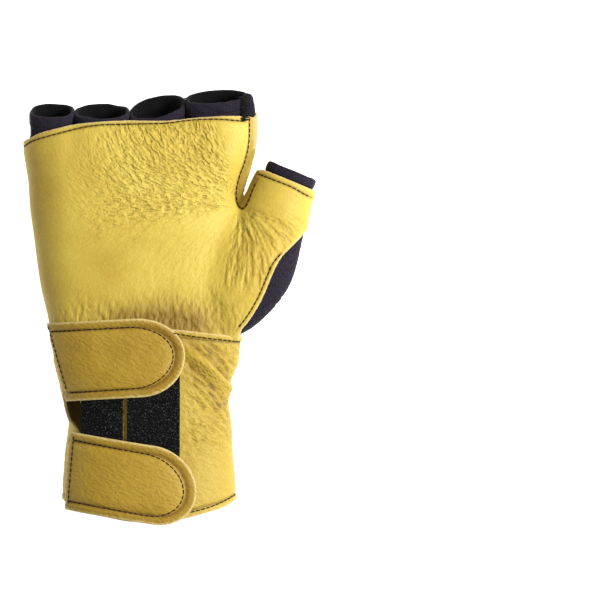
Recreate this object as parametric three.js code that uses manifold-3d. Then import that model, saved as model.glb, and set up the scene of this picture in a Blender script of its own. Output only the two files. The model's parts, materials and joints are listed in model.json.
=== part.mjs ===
// Half-finger work glove for the right hand, with a leather palm and a strapped leather wrist cuff.
// It lies on its back: +Y runs to the fingers, +X to the thumb and +Z up to the palm side.
// The wall surfaces are layers of one hand form. A layer's offset is its distance out from the
// knit's outer face, so that leather, hems, tape and straps all stack without touching.
import * as THREE from "three";
import { mergeVertices } from "three/addons/utils/BufferGeometryUtils.js";
import Module from "manifold-3d";

const wasm = await Module();
wasm.setup();

// Driving dimensions, in millimetres.
const HAND_WIDTH = 116; // knit, across the knuckles
const HAND_LENGTH = 108; // wrist line to the leather's top edge
const HAND_DEPTH = 34; // knit, back to palm at the wrist line
const THUMB_WIDTH = 26;
const THUMB_DEPTH = 21;
const FINGER_DEPTH = 21;
const CUFF_LENGTH = 104;
const CUFF_WIDTH = 90;
const CUFF_DEPTH = 41;
const CUFF_OVERLAP = 13; // how far the knit runs down inside the cuff
const KNIT_WALL = 1.2;
const LEATHER_WALL = 1.6;
const TAPE_WALL = 1.0; // loop tape, pile included
const HOOK_WALL = 0.8;
const LAY_GAP = 0.4; // clearance between sewn layers
const HEM_HEIGHT = 6.5;
const FLANGE_WIDTH = 4.4; // standing seam round the thumb slot
const TAPE_WIDTH = 25.4;
const STRAP_WIDTH = 40.5;
const STRAP_MARGIN = 4.5; // edge of a strap to its stitching
const THUMB_BARE = 5.5; // knit left showing below the thumb's rim

// Layer offsets that follow from the walls.
const LEATHER_IN = LAY_GAP;
const LEATHER_OUT = LEATHER_IN + LEATHER_WALL;
const CUFF_IN = LEATHER_OUT + LAY_GAP;
const CUFF_OUT = CUFF_IN + LEATHER_WALL;
const TAPE_IN = CUFF_OUT + 2 * LAY_GAP;
const TAPE_OUT = TAPE_IN + TAPE_WALL;
const HOOK_IN = TAPE_OUT + LAY_GAP;
const HOOK_OUT = HOOK_IN + HOOK_WALL;
const STRAP_IN = HOOK_OUT + LAY_GAP;
const STRAP_ROOT_IN = CUFF_OUT + 2 * LAY_GAP;

// Mesh fineness.
const AROUND = 34;
const HAND_STEP = 12;
const STALL_AROUND = 16;

// Hand sections, wrist to knuckles. along is a share of HAND_LENGTH, left and right are shares of
// HAND_WIDTH from the middle line, top is a share of HAND_DEPTH, and floor says how much of the
// cuff's wall lies under the knit there (1 inside the cuff, 0 clear of it).
const HAND_SECTIONS = [
  { along: -0.13, left: -0.400, right: 0.365, top: 0.98, floor: 1.0 },
  { along: 0.0, left: -0.430, right: 0.392, top: 1.0, floor: 1.0 },
  { along: 0.08, left: -0.447, right: 0.400, top: 1.0, floor: 0.35 },
  { along: 0.15, left: -0.463, right: 0.405, top: 1.0, floor: 0.0 },
  { along: 0.27, left: -0.485, right: 0.405, top: 1.0, floor: 0.0 },
  { along: 0.42, left: -0.504, right: 0.397, top: 0.99, floor: 0.0 },
  { along: 0.56, left: -0.520, right: 0.371, top: 0.97, floor: 0.0 },
  { along: 0.67, left: -0.528, right: 0.366, top: 0.95, floor: 0.0 },
  { along: 0.78, left: -0.541, right: 0.397, top: 0.93, floor: 0.0 },
  { along: 0.87, left: -0.543, right: 0.422, top: 0.90, floor: 0.0 },
  { along: 0.95, left: -0.534, right: 0.431, top: 0.87, floor: 0.0 },
  { along: 1.05, left: -0.510, right: 0.431, top: 0.83, floor: 0.0 },
];
const FORK = 0.87; // where the knit palm ends between the fingers, a share of HAND_LENGTH

// Finger stalls. left and right are shares of HAND_WIDTH, rim is where the opening's middle lies
// as a share of HAND_LENGTH, depth is a share of FINGER_DEPTH, tip is how far the opening leans
// to the palm in degrees and skew is its rise along the hand's width.
const FINGERS = [
  { name: "little", left: -0.537, right: -0.343, rim: 1.032, depth: 0.95, tip: 25, skew: 0.02 },
  { name: "ring", left: -0.338, right: -0.096, rim: 1.030, depth: 1.02, tip: 24, skew: 0.0 },
  { name: "middle", left: -0.091, right: 0.156, rim: 1.050, depth: 1.06, tip: 33, skew: 0.2 },
  { name: "index", left: 0.161, right: 0.435, rim: 1.100, depth: 1.0, tip: 22, skew: 0.07 },
];
const RIM_HEIGHT = 0.53; // middle of a finger's opening, a share of HAND_DEPTH
const STALL_ROOT = { along: 0.72, height: 0.49, width: 0.6, depth: 1.05 };

// Thumb sections, from inside the wrist to the rim. across, along and height place the middle as
// shares of HAND_WIDTH, HAND_LENGTH and HAND_DEPTH; width and depth are shares of the thumb's.
const THUMB_SECTIONS = [
  { across: 0.285, along: 0.02, height: 0.52, width: 0.75, depth: 0.85 },
  { across: 0.375, along: 0.095, height: 0.58, width: 1.20, depth: 1.30 },
  { across: 0.470, along: 0.26, height: 0.60, width: 1.50, depth: 1.42 },
  { across: 0.540, along: 0.44, height: 0.58, width: 1.32, depth: 1.27 },
  { across: 0.585, along: 0.60, height: 0.57, width: 1.10, depth: 1.12 },
  { across: 0.640, along: 0.745, height: 0.56, width: 1.0, depth: 1.0 },
];

// Cuff sections below the wrist line. along is a share of CUFF_LENGTH, left and right are shares
// of CUFF_WIDTH, top is a share of CUFF_DEPTH. Above the wrist line the cuff follows the hand.
const CUFF_SECTIONS = [
  { along: 0.0, left: -0.60, right: 0.555, top: 0.98 },
  { along: 0.13, left: -0.565, right: 0.525, top: 0.98 },
  { along: 0.25, left: -0.537, right: 0.480, top: 0.96 },
  { along: 0.36, left: -0.508, right: 0.458, top: 0.95 },
  { along: 0.50, left: -0.478, right: 0.472, top: 0.95 },
  { along: 0.66, left: -0.495, right: 0.487, top: 0.97 },
  { along: 0.80, left: -0.509, right: 0.500, top: 0.99 },
  { along: 1.02, left: -0.500, right: 0.503, top: 1.0 },
];

// Edges of the cuff's ends, as shares of CUFF_LENGTH by the angle round the wrist in degrees
// (0 is the thumb side, 90 the palm, 180 the little finger's side, 270 the back).
const CUFF_EDGES = [
  { angle: -90, top: -0.005, bottom: 0.97 },
  { angle: -45, top: 0.035, bottom: 0.905 },
  { angle: 0, top: 0.055, bottom: 0.87 },
  { angle: 45, top: 0.045, bottom: 0.925 },
  { angle: 90, top: 0.012, bottom: 0.98 },
  { angle: 140, top: 0.0, bottom: 0.915 },
  { angle: 180, top: 0.0, bottom: 0.87 },
  { angle: 225, top: 0.0, bottom: 0.915 },
  { angle: 270, top: -0.005, bottom: 0.97 },
];

// Where the cuff's two ends lie, and the dip of its little-finger end between the straps.
const UNDERLAP_ANGLE = 139;
const CUFF_END_ANGLE = 152;
const NOTCH = { along: 0.42, half: 0.11, angle: 24 };

// Creases in the cuff. Each runs between two places on one face, given as shares of CUFF_WIDTH
// across and CUFF_LENGTH down, with its depth and half width in millimetres.
const CREASES = [
  { face: "palm", x0: 0.28, y0: 0.20, x1: 0.50, y1: 0.36, depth: 1.7, half: 3.0 },
  { face: "palm", x0: 0.28, y0: 0.39, x1: 0.50, y1: 0.52, depth: 1.5, half: 3.2 },
  { face: "palm", x0: 0.28, y0: 0.29, x1: 0.49, y1: 0.43, depth: -1.3, half: 4.0 },
  { face: "back", x0: 0.25, y0: 0.30, x1: -0.35, y1: 0.50, depth: 1.6, half: 5.5 },
  { face: "back", x0: 0.00, y0: 0.20, x1: -0.38, y1: 0.34, depth: -1.1, half: 6.0 },
];

// Straps. root lists where each starts at its upper and lower corner, tip is its far end and
// middle its centre line, as shares of CUFF_WIDTH across and CUFF_LENGTH down.
const STRAPS = [
  { name: "upper", rootTop: -0.575, rootBottom: -0.455, rootMiddle: 0.185, tip: 0.19, tipMiddle: 0.150 },
  { name: "lower", rootTop: -0.435, rootBottom: -0.462, rootMiddle: 0.722, tip: 0.25, tipMiddle: 0.825 },
];
const TAPES = [
  { name: "inner", left: -0.381, width: 0.84 },
  { name: "outer", left: -0.121, width: 1.04 },
];
const TAPE_ENDS = { top: 0.06, bottom: 0.89 }; // shares of CUFF_LENGTH

// Outlines of the leather in plan, as shares of HAND_WIDTH across and HAND_LENGTH along.
// The palm's top edge and thumb side, little finger round to the wrist.
const PALM_TOP = [
  { x: -0.70, y: 0.865 },
  { x: -0.56, y: 0.890 },
  { x: -0.49, y: 0.922 },
  { x: -0.40, y: 0.948 },
  { x: -0.31, y: 0.967 },
  { x: -0.11, y: 0.982 },
  { x: 0.07, y: 0.981 },
  { x: 0.27, y: 1.001 },
  { x: 0.47, y: 1.006 },
];
const PALM_THUMB = [
  { x: 0.800, y: 0.643 },
  { x: 0.770, y: 0.540 },
  { x: 0.705, y: 0.455 },
  { x: 0.645, y: 0.385 },
  { x: 0.597, y: 0.332 },
  { x: 0.560, y: 0.265 },
  { x: 0.502, y: 0.120 },
  { x: 0.448, y: 0.024 },
  { x: 0.400, y: -0.035 },
];
// The palm leather's lap on the back of the hand, from the knuckles to the wrist.
const BACK_LAP = [
  { x: -0.545, y: 0.850 },
  { x: -0.450, y: 0.760 },
  { x: -0.345, y: 0.685 },
  { x: -0.276, y: 0.611 },
  { x: -0.233, y: 0.519 },
  { x: -0.210, y: 0.417 },
  { x: -0.203, y: 0.315 },
  { x: -0.207, y: 0.204 },
  { x: -0.243, y: 0.111 },
  { x: -0.290, y: 0.028 },
  { x: -0.330, y: -0.035 },
];
// The web leather's edge on the back of the hand, from the index finger round to the thumb.
const WEB_EDGE = [
  { x: 0.440, y: 1.040 },
  { x: 0.400, y: 1.010 },
  { x: 0.374, y: 0.963 },
  { x: 0.366, y: 0.907 },
  { x: 0.376, y: 0.833 },
  { x: 0.388, y: 0.750 },
  { x: 0.388, y: 0.667 },
  { x: 0.379, y: 0.602 },
  { x: 0.358, y: 0.537 },
  { x: 0.371, y: 0.472 },
  { x: 0.410, y: 0.407 },
  { x: 0.466, y: 0.352 },
  { x: 0.526, y: 0.319 },
  { x: 0.590, y: 0.306 },
  { x: 0.640, y: 0.333 },
  { x: 0.678, y: 0.398 },
  { x: 0.700, y: 0.481 },
  { x: 0.722, y: 0.574 },
  { x: 0.738, y: 0.635 },
];
const LAP_END = 0.050; // the leather stops this far below the cuff's top edge, share of HAND_LENGTH
// The standing seam's stitch line, from the index finger's rim round the slot to the thumb.
const SLOT_SEAM = [
  { x: 0.448, y: 1.000 },
  { x: 0.444, y: 0.891 },
  { x: 0.426, y: 0.794 },
  { x: 0.403, y: 0.722 },
  { x: 0.387, y: 0.650 },
  { x: 0.388, y: 0.601 },
  { x: 0.398, y: 0.572 },
  { x: 0.412, y: 0.560 },
  { x: 0.428, y: 0.570 },
  { x: 0.442, y: 0.598 },
  { x: 0.455, y: 0.635 },
  { x: 0.477, y: 0.690 },
  { x: 0.500, y: 0.738 },
];
// How far the seam's flange stands out at each of those places, a share of FLANGE_WIDTH.
const SLOT_FLANGE = [1.0, 1.0, 1.0, 1.0, 0.95, 1.0, 1.25, 1.35, 1.25, 0.8, 0.6, 0.6, 0.6];
const THUMB_TOP = 0.85; // past the thumb's rim, a share of HAND_LENGTH
const SLOT_HEIGHT = 0.50; // level of the slot's seam on the hand, a share of HAND_DEPTH

const LEATHER = { color: 0xd9b650, roughness: 0.55, metalness: 0 };
const KNIT = { color: 0x2f2a3c, roughness: 0.85, metalness: 0 };
const TAPE = { color: 0x151517, roughness: 0.95, metalness: 0 };

const mix = (a, b, t) => a + (b - a) * t;
const radians = (degrees) => (degrees * Math.PI) / 180;

function smoothstep(low, high, value) {
  const t = Math.min(1, Math.max(0, (value - low) / (high - low)));
  return t * t * (3 - 2 * t);
}

// A smooth curve through one column of a table, against another column.
function column(rows, key, by) {
  const xs = rows.map((row) => row[by]);
  const ys = rows.map((row) => row[key]);
  const last = xs.length - 1;
  const secant = (i) => (ys[i + 1] - ys[i]) / (xs[i + 1] - xs[i]);
  const slope = (i) => {
    if (i === 0) return secant(0);
    if (i === last) return secant(last - 1);
    return (secant(i - 1) + secant(i)) / 2;
  };
  return (x) => {
    let i = 0;
    while (i < last - 1 && x > xs[i + 1]) i++;
    const width = xs[i + 1] - xs[i];
    const t = Math.min(1, Math.max(0, (x - xs[i]) / width));
    const a = ys[i] * (1 + 2 * t) * (1 - t) ** 2 + ys[i + 1] * t * t * (3 - 2 * t);
    return a + width * (slope(i) * t * (1 - t) ** 2 - slope(i + 1) * t * t * (1 - t));
  };
}

// A point on a rounded section with its own exponents above and below the widest level. The
// section is flattened where it would pass the floor level.
function sectionPoint(section, angle) {
  const c = Math.cos(angle);
  const s = Math.sin(angle);
  const power = 2 / (s >= 0 ? section.upper : section.lower);
  const reach = s >= 0 ? section.rise : section.drop;
  const x = section.middle + section.half * Math.sign(c) * Math.abs(c) ** power;
  const z = section.waist + reach * Math.sign(s) * Math.abs(s) ** power;
  return [x, Math.max(z, section.floor)];
}

// The hand form's section at a distance along the hand, grown outwards by an offset.
const handLeft = column(HAND_SECTIONS, "left", "along");
const handRight = column(HAND_SECTIONS, "right", "along");
const handTop = column(HAND_SECTIONS, "top", "along");
const handFloor = column(HAND_SECTIONS, "floor", "along");

function handSection(y, offset) {
  const along = y / HAND_LENGTH;
  const left = HAND_WIDTH * handLeft(along);
  const right = HAND_WIDTH * handRight(along);
  const bottom = LEATHER_OUT + (CUFF_OUT - LEATHER_OUT) * Math.max(0, handFloor(along));
  const top = HAND_DEPTH * handTop(along);
  const waist = mix(bottom, top, 0.45);
  return {
    middle: (left + right) / 2,
    half: (right - left) / 2 + offset,
    waist,
    rise: top - waist + offset,
    drop: waist - bottom + 2.5 + offset,
    floor: bottom - offset,
    upper: 2.5,
    lower: 2.7,
  };
}

function handRing(y, offset) {
  const section = handSection(y, offset);
  return Array.from({ length: AROUND }, (_, k) => {
    const [x, z] = sectionPoint(section, (2 * Math.PI * k) / AROUND);
    return new THREE.Vector3(x, y, z);
  });
}

// A finger stall's ring at a share of the way from root to rim; beyond 1 it runs on past the rim.
function stallRing(finger, share, offset) {
  const left = HAND_WIDTH * finger.left;
  const right = HAND_WIDTH * finger.right;
  const rimY = HAND_LENGTH * finger.rim;
  const rootY = HAND_LENGTH * STALL_ROOT.along;
  const lean = radians(finger.tip) * smoothstep(0.2, 1, share);
  const bend = smoothstep(0, 1, share);
  const half = ((right - left) / 2) * mix(STALL_ROOT.width, 1, smoothstep(0, 0.5, share)) + offset;
  const depth = (FINGER_DEPTH * finger.depth * mix(STALL_ROOT.depth, 1, bend)) / 2 + offset;
  const middleX = (left + right) / 2;
  const middleY = mix(rootY, rimY, share);
  const middleZ = HAND_DEPTH * mix(STALL_ROOT.height, RIM_HEIGHT, bend);
  return Array.from({ length: STALL_AROUND }, (_, k) => {
    const angle = (2 * Math.PI * k) / STALL_AROUND;
    const power = 2 / 2.2;
    const across = Math.sign(Math.cos(angle)) * Math.abs(Math.cos(angle)) ** power;
    const up = Math.sign(Math.sin(angle)) * Math.abs(Math.sin(angle)) ** power;
    const x = middleX + half * across;
    const w = depth * up;
    const y = middleY - w * Math.sin(lean) + finger.skew * (x - middleX) * Math.min(1, share);
    const z = middleZ + w * Math.cos(lean);
    return new THREE.Vector3(x, y, Math.max(z, LEATHER_OUT - offset));
  });
}

// The thumb's middle line and its rings, square to that line in plan.
const thumbAcross = column(THUMB_SECTIONS.map((row, i) => ({ ...row, i })), "across", "i");
const thumbAlong = column(THUMB_SECTIONS.map((row, i) => ({ ...row, i })), "along", "i");
const thumbHeight = column(THUMB_SECTIONS.map((row, i) => ({ ...row, i })), "height", "i");
const thumbWidth = column(THUMB_SECTIONS.map((row, i) => ({ ...row, i })), "width", "i");
const thumbDepth = column(THUMB_SECTIONS.map((row, i) => ({ ...row, i })), "depth", "i");
const THUMB_LAST = THUMB_SECTIONS.length - 1;

function thumbPlace(t) {
  return new THREE.Vector2(HAND_WIDTH * thumbAcross(t), HAND_LENGTH * thumbAlong(t));
}

function thumbDirection(t) {
  const step = 0.05;
  const back = thumbPlace(Math.max(0, Math.min(t, THUMB_LAST) - step));
  return thumbPlace(Math.min(THUMB_LAST, t + step)).sub(back).normalize();
}

// A thumb ring at a row number t, moved along its own direction by shift.
function thumbRing(t, shift, offset) {
  const place = thumbPlace(t);
  const along = thumbDirection(t);
  const half = (THUMB_WIDTH * thumbWidth(t)) / 2 + offset;
  const depth = (THUMB_DEPTH * thumbDepth(t)) / 2 + offset;
  const level = HAND_DEPTH * thumbHeight(t);
  return Array.from({ length: STALL_AROUND }, (_, k) => {
    const angle = (2 * Math.PI * k) / STALL_AROUND;
    const across = half * Math.cos(angle);
    const x = place.x + along.x * shift + along.y * across;
    const y = place.y + along.y * shift - along.x * across;
    return new THREE.Vector3(x, y, Math.max(level + depth * Math.sin(angle), LEATHER_OUT - offset));
  });
}

// Solids. A geometry with merged corners becomes a closed body.
function bodyOf(geometry) {
  const plain = geometry.index ? geometry.toNonIndexed() : geometry.clone();
  for (const name of Object.keys(plain.attributes)) {
    if (name !== "position") plain.deleteAttribute(name);
  }
  const merged = mergeVertices(plain, 1e-4);
  const mesh = new wasm.Mesh({
    numProp: 3,
    vertProperties: merged.attributes.position.array,
    triVerts: new Uint32Array(merged.index.array),
  });
  return new wasm.Manifold(mesh);
}

function bodyFromFaces(points, faces) {
  const geometry = new THREE.BufferGeometry().setFromPoints(points);
  geometry.setIndex(faces);
  return bodyOf(geometry);
}

// A closed body through a list of rings of equal length, with a fan at each end.
function loft(rings) {
  const count = rings[0].length;
  const points = rings.flat();
  const faces = [];
  for (let r = 0; r < rings.length - 1; r++) {
    for (let k = 0; k < count; k++) {
      const a = r * count + k;
      const b = r * count + ((k + 1) % count);
      faces.push(a, a + count, b, b, a + count, b + count);
    }
  }
  for (const [ring, first, turned] of [[rings[0], 0, false], [rings.at(-1), points.length - count, true]]) {
    const centre = points.length;
    const sum = ring.reduce((total, p) => total.add(p), new THREE.Vector3());
    points.push(sum.divideScalar(count));
    for (let k = 0; k < count; k++) {
      const a = first + k;
      const b = first + ((k + 1) % count);
      faces.push(...(turned ? [a, centre, b] : [b, centre, a]));
    }
  }
  const body = bodyFromFaces(points, faces);
  if (body.volume() > 0) return body;
  for (let i = 0; i < faces.length; i += 3) [faces[i], faces[i + 1]] = [faces[i + 1], faces[i]];
  return bodyFromFaces(points, faces);
}

// A closed sheet between an outer and an inner surface over a grid of u and v from 0 to 1.
function sheet(stepsU, stepsV, outer, inner) {
  const points = [];
  for (const surface of [outer, inner]) {
    for (let i = 0; i <= stepsU; i++) {
      for (let j = 0; j <= stepsV; j++) points.push(surface(i / stepsU, j / stepsV));
    }
  }
  const layer = (stepsU + 1) * (stepsV + 1);
  const at = (i, j, inside) => i * (stepsV + 1) + j + (inside ? layer : 0);
  const faces = [];
  const quad = (a, b, c, d) => faces.push(a, b, c, a, c, d);
  for (let i = 0; i < stepsU; i++) {
    for (let j = 0; j < stepsV; j++) {
      quad(at(i, j), at(i + 1, j), at(i + 1, j + 1), at(i, j + 1));
      quad(at(i, j, 1), at(i, j + 1, 1), at(i + 1, j + 1, 1), at(i + 1, j, 1));
    }
    quad(at(i, 0), at(i, 0, 1), at(i + 1, 0, 1), at(i + 1, 0));
    quad(at(i, stepsV), at(i + 1, stepsV), at(i + 1, stepsV, 1), at(i, stepsV, 1));
  }
  for (let j = 0; j < stepsV; j++) {
    quad(at(0, j), at(0, j + 1), at(0, j + 1, 1), at(0, j, 1));
    quad(at(stepsU, j), at(stepsU, j, 1), at(stepsU, j + 1, 1), at(stepsU, j + 1));
  }
  const body = bodyFromFaces(points, faces);
  if (body.volume() > 0) return body;
  for (let i = 0; i < faces.length; i += 3) [faces[i], faces[i + 1]] = [faces[i + 1], faces[i]];
  return bodyFromFaces(points, faces);
}

// An upright prism over an outline in plan.
function prism(outline, low, high) {
  const shape = new THREE.Shape(outline.map((p) => new THREE.Vector2(p.x, p.y)));
  const geometry = new THREE.ExtrudeGeometry(shape, { depth: high - low, bevelEnabled: false });
  return bodyOf(geometry.translate(0, 0, low));
}

const onHand = (rows) => rows.map((p) => ({ x: p.x * HAND_WIDTH, y: p.y * HAND_LENGTH }));

const CUFF_TOP_REACH = 0.1 * CUFF_LENGTH; // how far above the wrist line the cuff may follow the hand

// The knit: a palm tube, four finger stalls and a thumb, hollow all the way through.
function palmTube(offset, low, high, taper) {
  const rings = [handRing(low, offset)];
  for (let y = HAND_STEP * Math.floor(low / HAND_STEP + 1.2); y < high - 2; y += HAND_STEP) {
    rings.push(handRing(y, offset));
  }
  rings.push(handRing(high, offset));
  if (taper) {
    const crown = handRing(high + taper, offset - taper);
    rings.push(crown);
  }
  return loft(rings);
}

function stallTube(finger, shares, offset) {
  return loft(shares.map((share) => stallRing(finger, share, offset)));
}

function thumbTube(offset, end) {
  const rings = [];
  const rows = 2 * THUMB_LAST;
  for (let i = 0; i < rows; i++) rings.push(thumbRing(i / 2, 0, offset));
  rings.push(thumbRing(THUMB_LAST, end, offset));
  return loft(rings);
}

const stallLength = (finger) => HAND_LENGTH * (finger.rim - STALL_ROOT.along);
const hemShare = (finger) => 1 - HEM_HEIGHT / stallLength(finger);
const PAST_RIM = 6; // cutters run this far past an opening
const WRIST_END = -CUFF_OVERLAP;
const FORK_Y = FORK * HAND_LENGTH;

function knitForm(offset, inside) {
  const low = inside ? WRIST_END - PAST_RIM : WRIST_END;
  let form = palmTube(offset, low, FORK_Y + offset, 2.5);
  for (const finger of FINGERS) {
    const end = hemShare(finger) + (inside ? PAST_RIM / stallLength(finger) : 0);
    form = form.add(stallTube(finger, [0, 0.3, 0.6, end], offset));
  }
  return form.add(thumbTube(offset, inside ? PAST_RIM : -HEM_HEIGHT));
}

function knitShell() {
  return knitForm(0, false).subtract(knitForm(-KNIT_WALL, true));
}

// A folded hem round one finger's opening.
function fingerHem(finger) {
  const start = hemShare(finger) + LAY_GAP / stallLength(finger);
  const past = PAST_RIM / stallLength(finger);
  const outside = stallTube(finger, [start, (start + 1) / 2, 1], 0);
  return outside.subtract(stallTube(finger, [start - past, start, (start + 1) / 2, 1, 1 + past], -KNIT_WALL));
}

function thumbHem() {
  const ring = (shift, offset) => thumbRing(THUMB_LAST, shift, offset);
  const outside = loft([ring(LAY_GAP - HEM_HEIGHT, 0), ring(0, 0)]);
  const bore = [ring(-HEM_HEIGHT - PAST_RIM, -KNIT_WALL), ring(PAST_RIM, -KNIT_WALL)];
  return outside.subtract(loft(bore));
}

// The leather over the hand: a mitten form, cut to its outline on each face.
function leatherForm(offset, past) {
  const low = WRIST_END - PAST_RIM - past;
  const high = 1.05 * HAND_LENGTH + past;
  let form = palmTube(offset, low, high, 0).add(thumbTube(offset, past - THUMB_BARE));
  for (const finger of FINGERS) {
    form = form.add(stallTube(finger, [0, 0.3, 0.6, 0.8, 1 + past / stallLength(finger)], offset));
  }
  return form;
}

const leatherBore = leatherForm(LEATHER_IN, PAST_RIM);
const leatherLayer = leatherForm(LEATHER_OUT, 0).subtract(leatherBore);
const SLOT_LEVEL = SLOT_HEIGHT * HAND_DEPTH;
const ABOVE = 2 * HAND_DEPTH;
const BELOW = -HAND_DEPTH;
const OUTSIDE = 1.2 * HAND_WIDTH;

// The thumb side's flange between the slot's stitch line and its raw edge.
function slotFlange(low, high) {
  const line = new THREE.CatmullRomCurve3(
    SLOT_SEAM.map((p) => new THREE.Vector3(p.x * HAND_WIDTH, p.y * HAND_LENGTH, SLOT_LEVEL)),
    false,
    "centripetal",
  );
  const steps = 20;
  const widthAt = (t) => {
    const place = t * (SLOT_FLANGE.length - 1);
    const i = Math.min(SLOT_FLANGE.length - 2, Math.floor(place));
    return FLANGE_WIDTH * mix(SLOT_FLANGE[i], SLOT_FLANGE[i + 1], place - i);
  };
  const edge = (t, side, level) => {
    const p = line.getPoint(t);
    const along = line.getTangent(t);
    const reach = side * widthAt(t) - (1 - side) * LEATHER_OUT;
    return new THREE.Vector3(p.x - along.y * reach, p.y + along.x * reach, p.z + level);
  };
  return sheet(steps, 1, (u, v) => edge(u, v, high), (u, v) => edge(u, v, low));
}

function palmLeather() {
  const wrist = -LAP_END * HAND_LENGTH;
  const top = onHand(PALM_TOP);
  const thumb = onHand(PALM_THUMB);
  const palm = [
    { x: -OUTSIDE, y: wrist },
    { x: -OUTSIDE, y: top[0].y },
    ...top,
    { x: top.at(-1).x, y: THUMB_TOP * HAND_LENGTH },
    { x: thumb[0].x, y: THUMB_TOP * HAND_LENGTH },
    ...thumb.slice(0, -1),
    { x: thumb.at(-1).x, y: wrist },
  ];
  const lap = onHand(BACK_LAP);
  const back = [
    { x: -OUTSIDE, y: wrist },
    { x: lap.at(-1).x, y: wrist },
    ...lap.slice(0, -1).reverse(),
    { x: top[0].x, y: top[0].y },
    { x: -OUTSIDE, y: top[0].y },
  ];
  const palmSide = leatherLayer.intersect(prism(palm, SLOT_LEVEL + LAY_GAP / 2, ABOVE));
  const backSide = leatherLayer.intersect(prism(back, BELOW, SLOT_LEVEL + LAY_GAP));
  const flange = slotFlange(LAY_GAP / 2, LAY_GAP / 2 + LEATHER_WALL);
  return palmSide.add(backSide).add(flange.subtract(leatherBore));
}

function webLeather() {
  const edge = onHand(WEB_EDGE);
  const web = [
    { x: HAND_WIDTH * 0.5, y: 1.04 * HAND_LENGTH },
    ...edge,
    { x: edge.at(-1).x, y: THUMB_TOP * HAND_LENGTH },
    { x: HAND_WIDTH * 0.5, y: THUMB_TOP * HAND_LENGTH },
  ];
  const layer = leatherLayer.intersect(prism(web, BELOW, SLOT_LEVEL - LAY_GAP / 2));
  const flange = slotFlange(-LAY_GAP / 2 - LEATHER_WALL, -LAY_GAP / 2);
  return layer.add(flange.subtract(leatherBore));
}

// The cuff: its ring follows the hand above the wrist line and its own sections below it.
const cuffLeft = column(CUFF_SECTIONS, "left", "along");
const cuffRight = column(CUFF_SECTIONS, "right", "along");
const cuffTop = column(CUFF_SECTIONS, "top", "along");
const edgeTop = column(CUFF_EDGES, "top", "angle");
const edgeBottom = column(CUFF_EDGES, "bottom", "angle");

// Offsets are counted as on the hand, so the cuff's own faces lie at CUFF_IN and CUFF_OUT.
function cuffSection(y, offset) {
  const hand = handSection(Math.max(y, WRIST_END), offset);
  const along = -y / CUFF_LENGTH;
  const left = CUFF_WIDTH * cuffLeft(along);
  const right = CUFF_WIDTH * cuffRight(along);
  const top = CUFF_DEPTH * cuffTop(along);
  const grow = offset - CUFF_OUT;
  const waist = 0.45 * top;
  const tube = {
    middle: (left + right) / 2,
    half: (right - left) / 2 + grow,
    waist,
    rise: top - waist + grow,
    drop: waist + 2.5 + grow,
    floor: -grow,
    upper: 2.3,
    lower: 2.5,
  };
  const blend = smoothstep(CUFF_OVERLAP, 2.2 * CUFF_OVERLAP, -y);
  const section = {};
  for (const key of Object.keys(tube)) section[key] = mix(hand[key], tube[key], blend);
  return section;
}

function creaseDepth(x, y, angle) {
  const face = Math.sin(angle) >= 0 ? "palm" : "back";
  let depth = 0;
  for (const crease of CREASES) {
    if (crease.face !== face) continue;
    const start = new THREE.Vector2(crease.x0 * CUFF_WIDTH, -crease.y0 * CUFF_LENGTH);
    const run = new THREE.Vector2(crease.x1 * CUFF_WIDTH, -crease.y1 * CUFF_LENGTH).sub(start);
    const from = new THREE.Vector2(x, y).sub(start);
    const share = from.dot(run) / run.lengthSq();
    const away = Math.abs(from.cross(run)) / run.length();
    const ends = smoothstep(-0.25, 0.2, share) * smoothstep(-0.25, 0.1, 1 - share);
    depth += crease.depth * ends * Math.exp(-((away / crease.half) ** 2));
  }
  return depth;
}

// A point on the cuff at an angle in radians and a distance y, at a layer's offset.
function cuffPoint(angle, y, offset) {
  const [x0] = sectionPoint(cuffSection(y, offset), angle);
  const level = Math.abs(Math.sin(angle));
  const sunk = offset - creaseDepth(x0, y, angle) * level;
  const [x, z] = sectionPoint(cuffSection(y, sunk), angle);
  return new THREE.Vector3(x, y, Math.max(z, CUFF_OUT - offset));
}

function cuffEdge(column, angle) {
  const degrees = THREE.MathUtils.radToDeg(angle);
  const wrapped = ((degrees + 90) % 360 + 360) % 360 - 90;
  return -CUFF_LENGTH * column(wrapped);
}

function cuff() {
  const start = UNDERLAP_ANGLE;
  const surface = (offset) => (u, v) => {
    const along = mix(edgeBottom(180), edgeTop(180), v);
    const dip = NOTCH.angle * Math.exp(-(((along - NOTCH.along) / NOTCH.half) ** 2));
    const end = CUFF_END_ANGLE + dip - 360;
    const angle = radians(mix(start, end, u));
    const y = mix(cuffEdge(edgeBottom, angle), cuffEdge(edgeTop, angle), v);
    return cuffPoint(angle, y, offset);
  };
  return sheet(42, 10, surface(CUFF_OUT), surface(CUFF_IN));
}

// The angle at which the cuff's palm face lies at a place across the wrist.
function palmAngle(x, y, offset) {
  const section = cuffSection(y, offset);
  const share = Math.min(1, Math.max(-1, (x - section.middle) / section.half));
  return Math.acos(Math.sign(share) * Math.abs(share) ** (section.upper / 2));
}

const palmPoint = (x, y, offset) => cuffPoint(palmAngle(x, y, CUFF_OUT), y, offset);

// Loop tape: an upright strip sewn to the cuff's palm face.
function loopTape(tape) {
  const left = tape.left * CUFF_WIDTH;
  const surface = (offset) => (u, v) => {
    const x = left + u * tape.width * TAPE_WIDTH;
    const y = -CUFF_LENGTH * mix(TAPE_ENDS.bottom, TAPE_ENDS.top, v);
    return palmPoint(x, y, offset);
  };
  return sheet(3, 10, surface(TAPE_OUT), surface(TAPE_IN));
}

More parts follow.
